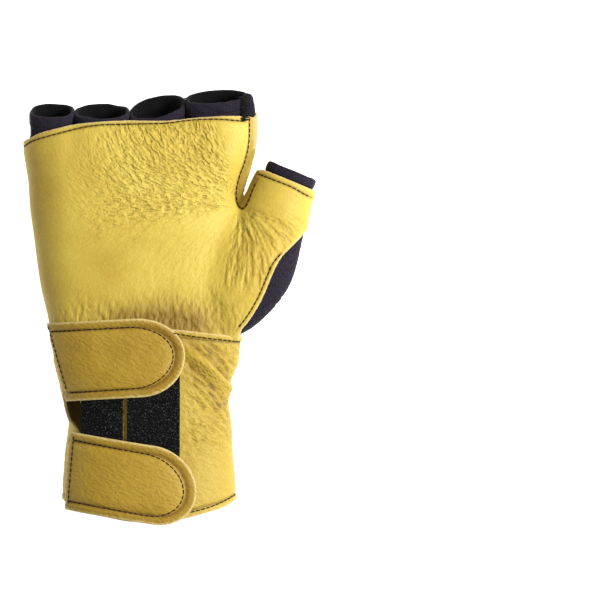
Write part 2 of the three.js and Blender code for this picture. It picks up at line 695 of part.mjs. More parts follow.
// A place on a strap: u runs from its root to its round end and v from its lower to upper edge,
// kept in from the edge by inset.
function strapPlace(strap, u, v, inset) {
  const half = STRAP_WIDTH / 2;
  const root = CUFF_WIDTH * mix(strap.rootBottom, strap.rootTop, v);
  const tip = CUFF_WIDTH * strap.tip - inset;
  const round = (tip - CUFF_WIDTH * strap.rootBottom - half) / (tip - CUFF_WIDTH * strap.rootBottom);
  const straight = 0.6;
  const share = u < straight ? (u / straight) * round : round + (1 - round) * Math.sin(((u - straight) / (1 - straight)) * (Math.PI / 2));
  const bow = Math.sqrt(Math.max(0, 1 - (Math.max(0, share - round) / (1 - round)) ** 2));
  const middle = mix(strap.rootMiddle, strap.tipMiddle, share);
  const spread = (half - inset) * Math.max(bow, 0.04) * (2 * v - 1);
  return { x: mix(root, tip, share), y: -CUFF_LENGTH * middle + spread };
}

function strap(row) {
  const lift = (x) => mix(STRAP_ROOT_IN, STRAP_IN, smoothstep(-0.49 * CUFF_WIDTH, TAPES[0].left * CUFF_WIDTH, x));
  const surface = (wall) => (u, v) => {
    const { x, y } = strapPlace(row, u, v, 0);
    return palmPoint(x, y, lift(x) + wall);
  };
  return sheet(13, 5, surface(LEATHER_WALL), surface(0));
}

// Hook tape under a strap's round end, inside its stitching.
function hookTape(row) {
  const from = 0.28;
  const surface = (offset) => (u, v) => {
    const { x, y } = strapPlace(row, mix(from, 1, u), v, STRAP_MARGIN);
    return palmPoint(x, y, offset);
  };
  return sheet(9, 3, surface(HOOK_OUT), surface(HOOK_IN));
}

// The assembly, moved so that its origin is the middle of the surface that it lies on.
function meshOf(body, name, finish) {
  const made = body.getMesh();
  const positions = new Float32Array(made.numVert * 3);
  for (let i = 0; i < made.numVert; i++) {
    positions.set(made.vertProperties.subarray(i * made.numProp, i * made.numProp + 3), i * 3);
  }
  const geometry = new THREE.BufferGeometry();
  geometry.setAttribute("position", new THREE.BufferAttribute(positions, 3));
  geometry.setIndex(new THREE.BufferAttribute(made.triVerts, 1));
  geometry.computeVertexNormals();
  const mesh = new THREE.Mesh(geometry, new THREE.MeshStandardMaterial(finish));
  mesh.name = name;
  return mesh;
}

const glove = new THREE.Group();
glove.add(meshOf(knitShell(), "knit_shell", KNIT));
for (const finger of FINGERS) glove.add(meshOf(fingerHem(finger), `${finger.name}_hem`, KNIT));
glove.add(meshOf(thumbHem(), "thumb_hem", KNIT));
glove.add(meshOf(palmLeather(), "palm_leather", LEATHER));
glove.add(meshOf(webLeather(), "web_leather", LEATHER));
glove.add(meshOf(cuff(), "wrist_cuff", LEATHER));
for (const tape of TAPES) glove.add(meshOf(loopTape(tape), `${tape.name}_loop_tape`, TAPE));
for (const row of STRAPS) {
  glove.add(meshOf(strap(row), `${row.name}_strap`, LEATHER));
  glove.add(meshOf(hookTape(row), `${row.name}_hook_tape`, TAPE));
}

const box = new THREE.Box3().setFromObject(glove);
const centre = box.getCenter(new THREE.Vector3());
glove.position.set(-centre.x, -centre.y, -box.min.z);

export default glove;
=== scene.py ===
# %% [markdown]
# # A half-finger work glove in leather and stretch knit
# The real glove is a sewn thing. A stretch knit hand is the base, yellow leather is sewn over its
# palm, and a leather cuff with two straps closes round the wrist. Here it lies on its back.
# Each step below makes one piece or one finish, in metres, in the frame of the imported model.
# Lengths are written in millimetres where a maker would say them, and `MM` turns them to metres.

# %% Load the frame
import json
import math

import bpy
import numpy as np
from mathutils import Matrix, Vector
from mathutils.bvhtree import BVHTree

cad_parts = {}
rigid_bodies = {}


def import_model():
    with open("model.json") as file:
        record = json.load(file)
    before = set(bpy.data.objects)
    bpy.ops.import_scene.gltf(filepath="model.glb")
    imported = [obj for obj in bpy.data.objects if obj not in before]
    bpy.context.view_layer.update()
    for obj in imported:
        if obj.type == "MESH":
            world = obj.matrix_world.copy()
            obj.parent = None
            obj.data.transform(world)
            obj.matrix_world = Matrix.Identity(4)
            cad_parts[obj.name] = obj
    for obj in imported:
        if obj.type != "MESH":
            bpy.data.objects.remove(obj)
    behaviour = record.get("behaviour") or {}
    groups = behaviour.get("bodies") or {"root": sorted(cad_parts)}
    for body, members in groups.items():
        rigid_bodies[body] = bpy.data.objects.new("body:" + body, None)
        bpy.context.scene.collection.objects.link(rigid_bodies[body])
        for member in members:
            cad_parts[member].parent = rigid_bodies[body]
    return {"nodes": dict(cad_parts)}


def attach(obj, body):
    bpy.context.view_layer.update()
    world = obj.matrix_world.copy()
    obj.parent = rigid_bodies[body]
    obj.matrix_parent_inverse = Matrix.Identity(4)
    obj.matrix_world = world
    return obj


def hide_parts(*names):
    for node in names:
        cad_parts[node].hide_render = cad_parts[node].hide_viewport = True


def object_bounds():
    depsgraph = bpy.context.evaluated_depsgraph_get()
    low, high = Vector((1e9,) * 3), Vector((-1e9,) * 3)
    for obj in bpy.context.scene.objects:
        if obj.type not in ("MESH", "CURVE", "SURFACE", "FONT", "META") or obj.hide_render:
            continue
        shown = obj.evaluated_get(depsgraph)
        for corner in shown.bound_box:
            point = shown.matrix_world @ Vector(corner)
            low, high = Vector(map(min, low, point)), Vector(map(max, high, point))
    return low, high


for leftover in list(bpy.data.objects):
    bpy.data.objects.remove(leftover)
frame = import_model()
CAD_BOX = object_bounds()
MM = 0.001
print("pieces of the frame:", sorted(frame["nodes"]))

# %% [markdown]
# ## Where the glove's own zero lies
# The tables below count from the wrist line in the middle of the hand, because that is how a
# glove is drawn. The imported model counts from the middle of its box. One shift joins the two,
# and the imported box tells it, so the tables stay in the maker's numbers.

# %% The shift between the tables and the frame
TABLE_LOW = np.array([-64.814, -102.832, 0.0])
SHIFT = np.array(CAD_BOX[0]) / MM - TABLE_LOW
print("shift in mm:", SHIFT.round(3))

# %% [markdown]
# ## Sizes
# These are the real sizes of the glove: the hand across the knuckles, the walls of knit and
# leather, the hems and the straps. The layers lie on each other like the skins of an onion, so
# every layer is a distance out from the knit's outer face.

# %% Named sizes in millimetres
HAND_WIDTH, HAND_LENGTH, HAND_DEPTH = 116.0, 108.0, 34.0
THUMB_WIDTH, THUMB_DEPTH, FINGER_DEPTH = 26.0, 21.0, 21.0
CUFF_LENGTH, CUFF_WIDTH, CUFF_DEPTH, CUFF_OVERLAP = 104.0, 90.0, 41.0, 13.0
KNIT_WALL, LEATHER_WALL, TAPE_WALL, HOOK_WALL, LAY_GAP = 1.2, 1.6, 1.0, 0.8, 0.4
HEM_HEIGHT, FLANGE_WIDTH, TAPE_WIDTH, STRAP_WIDTH = 6.5, 4.4, 25.4, 40.5
STRAP_MARGIN, THUMB_BARE = 4.5, 5.5
LEATHER_IN = LAY_GAP
LEATHER_OUT = LEATHER_IN + LEATHER_WALL
CUFF_IN = LEATHER_OUT + LAY_GAP
CUFF_OUT = CUFF_IN + LEATHER_WALL
TAPE_IN = CUFF_OUT + 2 * LAY_GAP
TAPE_OUT = TAPE_IN + TAPE_WALL
HOOK_IN = TAPE_OUT + LAY_GAP
HOOK_OUT = HOOK_IN + HOOK_WALL
STRAP_IN = HOOK_OUT + LAY_GAP
STRAP_ROOT_IN = CUFF_OUT + 2 * LAY_GAP
FORK = 0.87 * HAND_LENGTH
SPLIT = 0.50 * HAND_DEPTH
print("layers out from the knit:", LEATHER_OUT, CUFF_OUT, TAPE_OUT, STRAP_IN)


# %% [markdown]
# ## Reading a table as a smooth curve
# A pattern maker gives a few measures along a piece and lets the curve run smoothly between
# them. A cubic through the rows does the same, with slopes taken from the neighbours.

# %% A smooth column of a table
def rows(names, *values):
    return [dict(zip(names.split(), row)) for row in values]


def column(table, key, by="along"):
    xs = np.array([row[by] for row in table], float)
    ys = np.array([row[key] for row in table], float)
    secant = np.diff(ys) / np.diff(xs)
    slope = np.concatenate([secant[:1], (secant[1:] + secant[:-1]) / 2, secant[-1:]])

    def at(x):
        x = np.clip(x, xs[0], xs[-1])
        i = np.clip(np.searchsorted(xs, x, side="right") - 1, 0, len(xs) - 2)
        width = xs[i + 1] - xs[i]
        t = (x - xs[i]) / width
        ends = ys[i] * (1 + 2 * t) * (1 - t) ** 2 + ys[i + 1] * t * t * (3 - 2 * t)
        return ends + width * (slope[i] * t * (1 - t) ** 2 - slope[i + 1] * t * t * (1 - t))

    return at


def ease(low, high, x):
    t = np.clip((x - low) / (high - low), 0, 1)
    return t * t * (3 - 2 * t)


def mix(a, b, t):
    return a + (b - a) * t


def soft_min(a, b, k):
    h = np.maximum(k - np.abs(a - b), 0) / k
    return np.minimum(a, b) - h * h * k / 4


def soft_max(a, b, k):
    return -soft_min(-a, -b, k)


# %% [markdown]
# ## The hand, the finger stalls and the thumb in tables
# The rows follow the glove from the wrist to the finger ends. Sides are shares of the hand's
# width, tops are shares of its depth, and `along` is a share of its length.

# %% Tables of the hand
HAND = rows(
    "along left right top floor",
    (-0.13, -0.400, 0.365, 0.98, 1.0), (0.0, -0.430, 0.392, 1.0, 1.0),
    (0.08, -0.447, 0.400, 1.0, 0.35), (0.15, -0.463, 0.405, 1.0, 0.0),
    (0.27, -0.485, 0.405, 1.0, 0.0), (0.42, -0.504, 0.397, 0.99, 0.0),
    (0.56, -0.520, 0.371, 0.97, 0.0), (0.67, -0.528, 0.366, 0.95, 0.0),
    (0.78, -0.541, 0.397, 0.93, 0.0), (0.87, -0.543, 0.422, 0.90, 0.0),
    (0.95, -0.534, 0.431, 0.87, 0.0), (1.05, -0.510, 0.431, 0.83, 0.0),
)
FINGERS = rows(
    "name left right rim depth tip skew",
    ("little", -0.537, -0.343, 1.032, 0.95, 25, 0.02),
    ("ring", -0.338, -0.096, 1.030, 1.02, 24, 0.0),
    ("middle", -0.091, 0.156, 1.050, 1.06, 33, 0.2),
    ("index", 0.161, 0.435, 1.100, 1.0, 22, 0.07),
)
RIM_HEIGHT = 0.53
STALL_ROOT = dict(along=0.72, height=0.49, width=0.6, depth=1.05, fade=14.0)
THUMB = rows(
    "row across along height width depth",
    (0, 0.285, 0.02, 0.52, 0.75, 0.85), (1, 0.375, 0.095, 0.58, 1.20, 1.30),
    (2, 0.470, 0.26, 0.60, 1.50, 1.42), (3, 0.540, 0.44, 0.58, 1.32, 1.27),
    (4, 0.585, 0.60, 0.57, 1.10, 1.12), (5, 0.640, 0.745, 0.56, 1.0, 1.0),
)
hand_left, hand_right, hand_top, hand_floor = (
    column(HAND, key) for key in ("left", "right", "top", "floor")
)


# %% [markdown]
# ## Shapes as distances
# Sewn layers must follow each other closely without cutting through. If a form is described by
# the distance to its skin, then leather 2 mm out is only the same form with 2 mm taken off, and
# two forms join in a soft valley where they meet. That is why the hand is made this way and not
# from separate tubes joined by hand.

# %% The palm's distance
# The higher a squareness, the flatter the sides of an oval and the tighter its corners.
TOP_SQUARE, FLOOR_SQUARE, STALL_SQUARE, THUMB_SQUARE = 2.5, 2.7, 2.2, 2.05
PALM_WAIST, FLOOR_DIP, FLOOR_EDGE = 0.45, 2.5, 1.5


def hand_section(y):
    along = y / HAND_LENGTH
    left, right = HAND_WIDTH * hand_left(along), HAND_WIDTH * hand_right(along)
    under = LEATHER_OUT + (CUFF_OUT - LEATHER_OUT) * np.maximum(0, hand_floor(along))
    top = HAND_DEPTH * hand_top(along)
    return dict(middle=(left + right) / 2, half=(right - left) / 2, under=under, top=top,
                waist=mix(under, top, PALM_WAIST))


def rounded(u, v, n, wide, high):
    """Distance to a rounded section from its shares across and up."""
    size = (u**n + v**n) ** (1 / n) + 1e-6
    slope = np.hypot((u / size) ** (n - 1) / wide, (v / size) ** (n - 1) / high)
    return (size - 1) / slope


def palm_distance(x, y, z):
    s = hand_section(y)
    up = z > s["waist"]
    high = np.where(up, s["top"] - s["waist"], s["waist"] - s["under"] + FLOOR_DIP)
    across = np.abs(x - s["middle"]) / s["half"]
    square = np.where(up, TOP_SQUARE, FLOOR_SQUARE)
    d = rounded(across, np.abs(z - s["waist"]) / high, square, s["half"], high)
    return soft_max(d, s["under"] - z, FLOOR_EDGE)


# %% [markdown]
# ## Finger stalls
# A stall is a short oval tube that leans up a little, so its opening faces partly to the palm
# side, as a relaxed finger leaves it. The share `s` says how far along the stall a point lies,
# with 1 at the rim, and later cuts the hem line.

# %% A stall's distance
def stall_length(finger):
    return HAND_LENGTH * (finger["rim"] - STALL_ROOT["along"])


def stall_distance(finger, x, y, z):
    left, right = HAND_WIDTH * finger["left"], HAND_WIDTH * finger["right"]
    root, long = HAND_LENGTH * STALL_ROOT["along"], stall_length(finger)
    middle = (left + right) / 2
    s = (y - root) / long + 0 * (x + z)
    for _ in range(4):
        inside = np.clip(s, 0, 1)
        lean = math.radians(finger["tip"]) * ease(0.2, 1, inside)
        level = HAND_DEPTH * mix(STALL_ROOT["height"], RIM_HEIGHT, ease(0, 1, inside))
        w = (z - level) / np.cos(lean)
        s = (y + w * np.sin(lean) - finger["skew"] * (x - middle) * inside - root) / long
    inside = np.clip(s, 0, 1)
    half = (right - left) / 2 * mix(STALL_ROOT["width"], 1, ease(0, 0.5, inside))
    deep = FINGER_DEPTH * finger["depth"] * mix(STALL_ROOT["depth"], 1, ease(0, 1, inside)) / 2
    d = rounded(np.abs(x - middle) / half, np.abs(w) / deep, STALL_SQUARE, half, deep)
    return soft_max(d, -s * long, STALL_ROOT["fade"]), s


# %% [markdown]
# ## The thumb
# The thumb bends away from the hand along a line in plan. Every point is measured from the
# nearest place on that line: how far across it lies, and how far past the thumb's end.

# %% The thumb's distance
THUMB_END = 5.0
THUMB_LINE = np.linspace(0, THUMB_END, 161)
thumb_across, thumb_along, thumb_height, thumb_width, thumb_depth = (
    column(THUMB, key, "row") for key in ("across", "along", "height", "width", "depth")
)


def thumb_place(t):
    return np.stack([HAND_WIDTH * thumb_across(t), HAND_LENGTH * thumb_along(t)], -1)


def thumb_direction(t):
    behind, ahead = np.clip(t, 0, THUMB_END) - 0.05, np.minimum(THUMB_END, t + 0.05)
    run = thumb_place(ahead) - thumb_place(behind)
    return run / np.linalg.norm(run, axis=-1, keepdims=True)


def thumb_map(x, y):
    """Row, distance across and distance past the end of the thumb, for places in plan."""
    place, along = thumb_place(THUMB_LINE), thumb_direction(THUMB_LINE)
    points = np.stack(np.broadcast_arrays(x, y), -1).reshape(-1, 2)
    near = ((points[:, None] - place[None]) ** 2).sum(-1).argmin(1)
    run = points - place[near]
    past = (run * along[near]).sum(-1)
    across = run[:, 0] * along[near, 1] - run[:, 1] * along[near, 0]
    shape = np.broadcast(x, y).shape
    return THUMB_LINE[near].reshape(shape), across.reshape(shape), past.reshape(shape)


def thumb_distance(plan, z):
    t, across, past = plan
    half, deep = THUMB_WIDTH * thumb_width(t) / 2, THUMB_DEPTH * thumb_depth(t) / 2
    level = HAND_DEPTH * thumb_height(t)
    d = rounded(np.abs(across) / half, np.abs(z - level) / deep, THUMB_SQUARE, half, deep)
    d = np.maximum(d, np.where(t < 0.01, -past, -1e3))
    return soft_max(d, LEATHER_OUT - z, FLOOR_EDGE)


# %% [markdown]
# ## A block of measured points
# To cut skins out of distances, the space round the hand is filled with a regular lattice, and
# the distance is worked out once at every point. Seven tenths of a millimetre is fine enough for
# the leather's edges and wrinkles, and the smooth knit does with wider steps.

# %% Lattices
LOW, HIGH = np.array([-68.0, -17.0, -3.0]), np.array([92.0, 126.0, 41.0])
KNIT_STEP, HIDE_STEP = 0.95, 0.70


class Lattice:
    """Points at an even step over the hand, with the thumb's map of them in plan."""

    def __init__(self, step):
        self.step = step
        gx, gy, gz = (np.arange(LOW[k], HIGH[k] + step, step) for k in range(3))
        self.x, self.y, self.z = gx[:, None, None], gy[None, :, None], gz[None, None, :]
        self.plan_x, self.plan_y = np.meshgrid(gx, gy, indexing="ij")
        self.thumb = tuple(a[:, :, None] for a in thumb_map(self.plan_x, self.plan_y))
        print("lattice step", step, "mm:", gx.size * gy.size * gz.size, "points")


def sample(field, points, step):
    """A field's values at places between the lattice points."""
    place = (points - LOW) / step
    i = np.clip(np.floor(place).astype(int), 0, np.array(field.shape) - 2)
    t = np.clip(place - i, 0, 1)
    total = 0
    for corner in np.ndindex(2, 2, 2):
        weight = np.prod(np.where(corner, t, 1 - t), axis=1)
        total = total + weight * field[tuple((i + corner).T)]
    return total


# %% [markdown]
# ## From distances to a mesh
# A surface net puts one corner in each small cell that the skin passes through and joins the
# corners of neighbouring cells to squares. It gives even squares all over, which take wrinkles
# and folds well, where a boolean of tubes would give long thin faces.

# %% A surface net
def net(field, step):
    """Corners in millimetres and square faces of the skin where a distance is zero."""
    field = field.astype(np.float32)
    for axis in range(3):
        edge = [slice(None)] * 3
        for end in (0, -1):
            edge[axis] = end
            field[tuple(edge)] = np.maximum(field[tuple(edge)], 0.2)
    cells = np.array(field.shape) - 1
    stride = np.array([cells[1] * cells[2], cells[2], 1])
    total, count, quads = np.zeros((cells.prod(), 3)), np.zeros(cells.prod()), []
    for axis, u, v in ((0, 1, 2), (1, 2, 0), (2, 0, 1)):
        first, second = [slice(None)] * 3, [slice(None)] * 3
        first[axis], second[axis] = slice(0, -1), slice(1, None)
        a, b = field[tuple(first)], field[tuple(second)]
        at = np.argwhere((a < 0) != (b < 0))
        va, vb = a[tuple(at.T)], b[tuple(at.T)]
        point = at.astype(float)
        point[:, axis] += va / (va - vb)
        ring = []
        for du, dv in ((0, 0), (-1, 0), (-1, -1), (0, -1)):
            cell = at.copy()
            cell[:, u] += du
            cell[:, v] += dv
            flat = cell @ stride
            ring.append(flat)
            count += np.bincount(flat, minlength=count.size)
            for k in range(3):
                total[:, k] += np.bincount(flat, point[:, k], minlength=count.size)
        ring = np.stack(ring, 1)
        quads.append(np.where((va < 0)[:, None], ring, ring[:, ::-1]))
    used = np.flatnonzero(count)
    number = np.full(count.size, -1)
    number[used] = np.arange(used.size)
    corners = total[used] / count[used, None] * step + LOW
    return corners, number[np.concatenate(quads)]


def relax(corners, faces, rounds=2, keep=0.5):
    """Evens a net out without shrinking it: each round smooths in, then a little back out."""
    edges = np.concatenate([faces[:, [k, (k + 1) % faces.shape[1]]] for k in range(faces.shape[1])])
    edges = np.concatenate([edges, edges[:, ::-1]])
    degree = np.bincount(edges[:, 0], minlength=len(corners))[:, None]
    for pull in (keep, -keep * 1.02) * rounds:
        mean = np.stack([np.bincount(edges[:, 0], corners[edges[:, 1], k], len(corners))
                         for k in range(3)], 1) / degree
        corners = corners + pull * (mean - corners)
    return corners


def outward(points, faces):
    """Turns the faces of a closed mesh so that they all look outwards."""
    a, b, c, d = (points[faces[:, k]] for k in range(4))
    volume = (np.cross(a, b) * c).sum() + (np.cross(a, c) * d).sum()
    return faces if volume > 0 else faces[:, ::-1]


def ring_walls(number):
    """Squares between rows of corner numbers, where each row closes to a ring."""
    after = np.roll(number, -1, 1)
    return np.stack([number[:-1], number[1:], after[1:], after[:-1]], -1).reshape(-1, 4)


def normals_of(corners, faces):
    a, b, c, d = (corners[faces[:, k]] for k in range(4))
    across = np.cross(c - a, d - b)
    total = np.stack([sum(np.bincount(faces[:, k], across[:, j], len(corners)) for k in range(4))
                      for j in range(3)], 1)
    return total / (np.linalg.norm(total, axis=1, keepdims=True) + 1e-9)


# %% [markdown]
# ### From numbers to an object
# A finished skin becomes one smooth object in metres. Numbers noted at its corners, such as how
# raw an edge is, tell the finishes where they belong.

# %% A Blender object from corners and faces
SKINS = {}


def keep_skin(name, corners, faces):
    """Remembers a finished surface in mm, so that seams can be laid on it."""
    SKINS[name] = (corners, faces)
    return corners, faces


def make_object(name, corners, faces):
    """corners in millimetres from the wrist line, faces as index rows."""
    mesh = bpy.data.meshes.new(name)
    mesh.from_pydata(((np.asarray(corners) + SHIFT) * MM).tolist(), [], [tuple(f) for f in faces])
    mesh.validate()
    mesh.update()
    mesh.polygons.foreach_set("use_smooth", [True] * len(mesh.polygons))
    piece = bpy.data.objects.new(name, mesh)
    bpy.context.collection.objects.link(piece)
    return piece


def note(piece, name, values):
    """Stores a number, or a row of three, per corner, which a material can read."""
    values = np.asarray(values, np.float32)
    kind, key = ("FLOAT", "value") if values.ndim == 1 else ("FLOAT_VECTOR", "vector")
    piece.data.attributes.new(name, kind, "POINT").data.foreach_set(key, values.ravel())


def note_lines(piece, direction, strength):
    """Stores which way the fine wrinkles run in plan, in radians, and how strong they are."""
    direction = direction + 0 * strength
    note(piece, "flow", np.stack([np.cos(direction), np.sin(direction), 0 * direction], 1))
    note(piece, "lines", strength)


def stand_for(piece, slot, *nodes):
    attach(piece, "root")
    if nodes:
        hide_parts(*nodes)
    faces = piece.data
    print(f"{piece.name}: {len(faces.vertices)} corners, {len(faces.polygons)} faces")
    return piece


# %% [markdown]
# ## Outlines of the leather
# The leather is cut to outlines in plan. A smooth curve through a few named corners gives each
# outline, and the distance to it cuts the leather layer, with the corners a little rounded as a
# knife and use leave them.

# %% Outline tools
def smooth_line(points, step=0.7):
    """A Catmull-Rom curve through points, sampled about every step."""
    p = np.asarray(points, float)
    p = np.vstack([2 * p[0] - p[1], p, 2 * p[-1] - p[-2]])
    out = []
    for i in range(1, len(p) - 2):
        n = max(2, int(np.linalg.norm(p[i + 1] - p[i]) / step))
        t = (np.arange(n) / n)[:, None]
        a, b, c, d = p[i - 1], p[i], p[i + 1], p[i + 2]
        out.append(0.5 * (2 * b + (c - a) * t + (2 * a - 5 * b + 4 * c - d) * t**2
                          + (3 * b - a - 3 * c + d) * t**3))
    return np.vstack([*out, p[-2][None]])


def line_distance(px, py, line):
    """Distance in plan from places to a line of points, and the nearest place's number."""
    shape = np.broadcast(px, py).shape
    px, py = (np.broadcast_to(a, shape).ravel() for a in (px, py))
    best, which = np.full(px.size, 1e9), np.zeros(px.size)
    for i in range(len(line) - 1):
        a, run = line[i], line[i + 1] - line[i]
        t = np.clip(((px - a[0]) * run[0] + (py - a[1]) * run[1]) / max(run @ run, 1e-9), 0, 1)
        d = np.hypot(px - a[0] - t * run[0], py - a[1] - t * run[1])
        near = d < best
        best[near], which[near] = d[near], (i + t)[near]
    return best.reshape(shape), which.reshape(shape)


def outline_distance(px, py, line):
    """Signed distance to a closed outline in plan, below zero inside it."""
    ring = np.vstack([line, line[:1]])
    d = line_distance(px, py, ring)[0]
    inside = np.zeros(np.broadcast(px, py).shape, bool)
    for a, b in zip(ring[:-1], ring[1:]):
        crosses = (a[1] > py) != (b[1] > py)
        if a[1] != b[1]:
            inside ^= crosses & (px < (b[0] - a[0]) * (py - a[1]) / (b[1] - a[1]) + a[0])
    return np.where(inside, -d, d)


def on_hand(*pairs):
    return np.array(pairs) * [HAND_WIDTH, HAND_LENGTH]


# %% [markdown]
# ## Noise for wrinkles
# Leather never wrinkles evenly. A table of random numbers, read smoothly, gives the same
# unevenness each time the script runs. Wrinkles come from averaging that noise along the way
# they run, which draws it out into short lines.

# %% Smooth noise in plan
NOISE = np.random.default_rng(41).random((256, 256))


def noise(x, y, turn=0):
    """Smooth noise from 0 to 1; turn picks another part of the table."""
    x, y = x + 37.3 * turn, y + 91.7 * turn
    i, j = np.floor(x).astype(int), np.floor(y).astype(int)
    u, v = x - i, y - j
    u, v = u * u * (3 - 2 * u), v * v * (3 - 2 * v)
    a, b = NOISE[i % 256, j % 256], NOISE[(i + 1) % 256, j % 256]
    c, d = NOISE[i % 256, (j + 1) % 256], NOISE[(i + 1) % 256, (j + 1) % 256]
    return (a * (1 - u) + b * u) * (1 - v) + (c * (1 - u) + d * u) * v


def combed(x, y, direction, wide, long, turn):
    """Noise drawn out along direction(x, y): wrinkles wide mm across, long mm long, from 0 to 1."""
    total, steps = noise(x / wide, y / wide, turn), max(2, int(long / wide))
    for way in (-1, 1):
        px, py = x, y
        for _ in range(steps):
            angle = direction(px, py)
            px, py = px + way * wide / 2 * np.cos(angle), py + way * wide / 2 * np.sin(angle)
            total = total + noise(px / wide, py / wide, turn)
    return ease(0.32, 0.68, total / (2 * steps + 1))


# %% [markdown]
# ## The knit hand
# The knit is tubular stretch cloth about 1.2 mm thick. It is the same form cut twice, once at its
# outer face and once a wall further in, where the stalls run on past their ends so that they
# stay open. The ends stop where the folded hems start, and the wrist end stops under the cuff.

# %% Ends of the stalls and the thumb
def past_thumb_rim(x, y):
    tip, run = thumb_place(THUMB_END), thumb_direction(THUMB_END)
    return (x - tip[0]) * run[0] + (y - tip[1]) * run[1]


def hand_form(lattice, blends, trim=True, short=None):
    """Distance to the hand, its stalls and thumb; short stops the ends that far below the rims."""
    x, y, z = lattice.x, lattice.y, lattice.z
    d = palm_distance(x, y, z)
    if trim:
        d = soft_max(d, y - FORK - 1.5, 2.5)
    stalls = 1e3
    for finger in FINGERS:
        stall, s = stall_distance(finger, x, y, z)
        if short is not None:
            stall = soft_max(stall, (s - 1) * stall_length(finger) + short, 0.5)
        stalls = soft_min(stalls, stall, blends[0])
    thumb = thumb_distance(lattice.thumb, z)
    if short is not None:
        thumb = soft_max(thumb, past_thumb_rim(x, y) + short, 0.5)
    return soft_min(soft_min(d, stalls, blends[1]), thumb, blends[2])


KNIT_BLENDS, LEATHER_BLENDS = (1.2, 4.0, 6.0), (3.0, 6.0, 9.0)
coarse = Lattice(KNIT_STEP)
knit_outer = hand_form(coarse, KNIT_BLENDS, short=HEM_HEIGHT - 0.6)
knit_inner = hand_form(coarse, KNIT_BLENDS) + KNIT_WALL
knit_field = np.maximum(soft_max(knit_outer, -knit_inner, 0.4), -CUFF_OVERLAP - coarse.y)
corners, faces = net(knit_field, coarse.step)
knit = make_object("knit_hand", *keep_skin("knit", relax(corners, faces), faces))
stand_for(knit, "knit", "knit_shell")

# %% [markdown]
# ## The palm leather
# One hide covers the palm, wraps round the little finger's side onto the back and runs out over
# the thumb. It is a layer of the softer form, kept inside the cut outline. Above the split level
# the palm outline holds, and below it the lap on the back.

# %% Cut outlines of the palm leather
PALM_TOP = on_hand((-0.70, 0.865), (-0.56, 0.890), (-0.49, 0.922), (-0.40, 0.948), (-0.31, 0.967),
                   (-0.11, 0.982), (0.07, 0.981), (0.27, 1.001), (0.47, 1.006))
PALM_THUMB = on_hand((0.800, 0.643), (0.770, 0.540), (0.705, 0.455), (0.645, 0.385),
                     (0.597, 0.332), (0.560, 0.265), (0.502, 0.120), (0.448, 0.024),
                     (0.400, -0.035))
BACK_LAP = on_hand((-0.545, 0.850), (-0.450, 0.760), (-0.345, 0.685), (-0.276, 0.611),
                   (-0.233, 0.519), (-0.210, 0.417), (-0.203, 0.315), (-0.207, 0.204),
                   (-0.243, 0.111), (-0.290, 0.028), (-0.330, -0.035))
WEB_EDGE = on_hand((0.440, 1.040), (0.400, 1.010), (0.374, 0.963), (0.366, 0.907), (0.376, 0.833),
                   (0.388, 0.750), (0.388, 0.667), (0.379, 0.602), (0.358, 0.537), (0.371, 0.472),
                   (0.410, 0.407), (0.466, 0.352), (0.526, 0.319), (0.590, 0.306), (0.640, 0.333),
                   (0.678, 0.398), (0.700, 0.481), (0.722, 0.574), (0.738, 0.635))
SLOT_SEAM = on_hand((0.446, 1.024), (0.444, 0.891), (0.426, 0.794), (0.403, 0.722), (0.387, 0.650),
                    (0.388, 0.601), (0.398, 0.572), (0.412, 0.560), (0.428, 0.570), (0.442, 0.598),
                    (0.455, 0.635), (0.477, 0.690), (0.500, 0.738))
SLOT_FLANGE = [1.0, 1.0, 1.0, 1.0, 0.95, 1.0, 1.25, 1.35, 1.25, 0.8, 0.6, 0.6, 0.6]
WRIST_LINE, FAR_LEFT, FAR_RIGHT, OVER_THUMB = -0.075 * HAND_LENGTH, -140, 94, 92
top_line, thumb_line = smooth_line(PALM_TOP, 2.0), smooth_line(PALM_THUMB, 2.0)
lap_line, web_line = smooth_line(BACK_LAP, 2.0), smooth_line(WEB_EDGE, 2.0)
PALM_OUTLINE = np.vstack([[(FAR_LEFT, WRIST_LINE), (FAR_LEFT, top_line[0][1])], top_line,
                          [(top_line[-1][0], OVER_THUMB), (FAR_RIGHT, OVER_THUMB)],
                          thumb_line[:-1], [(thumb_line[-1][0], WRIST_LINE)]])
BACK_OUTLINE = np.vstack([[(FAR_LEFT, WRIST_LINE), (lap_line[-1][0], WRIST_LINE)], lap_line[::-1],
                          [(top_line[0][0], top_line[0][1]), (FAR_LEFT, top_line[0][1])]])
WEB_OUTLINE = np.vstack([[(0.5 * HAND_WIDTH, 1.04 * HAND_LENGTH)], web_line,
                         [(web_line[-1][0], OVER_THUMB), (0.5 * HAND_WIDTH, OVER_THUMB)]])

# %% [markdown]
# ### The block of the leather
# The hides are wrinkled and have cut edges, so their block has smaller steps. Each outline says
# how far a place lies inside the cut, and the thumb keeps a bare rim of knit.

# %% The leather's lattice and what each outline covers
fine = Lattice(HIDE_STEP)
leather_form = hand_form(fine, LEATHER_BLENDS, trim=False)
# The end cut of the thumb holds beside the thumb only, not across the fingers.
THUMB_SIDE = 57.0
beside_thumb = (fine.thumb[0] > 4) & (fine.x > THUMB_SIDE)
thumb_stop = np.where(beside_thumb, past_thumb_rim(fine.x, fine.y) + THUMB_BARE, -1e3)
palm_plan, back_plan, web_plan = (
    outline_distance(fine.plan_x, fine.plan_y, outline)[:, :, None]
    for outline in (PALM_OUTLINE, BACK_OUTLINE, WEB_OUTLINE)
)


# %% [markdown]
# ## The standing seam round the thumb slot
# Palm hide and web hide meet edge to edge round the slot and are sewn together flat, so a
# narrow double lip stands out beside the stitches. Its width follows the seam, widest at the
# bottom of the slot.

# %% The seam's lip
seam_line = smooth_line(SLOT_SEAM, 0.8)


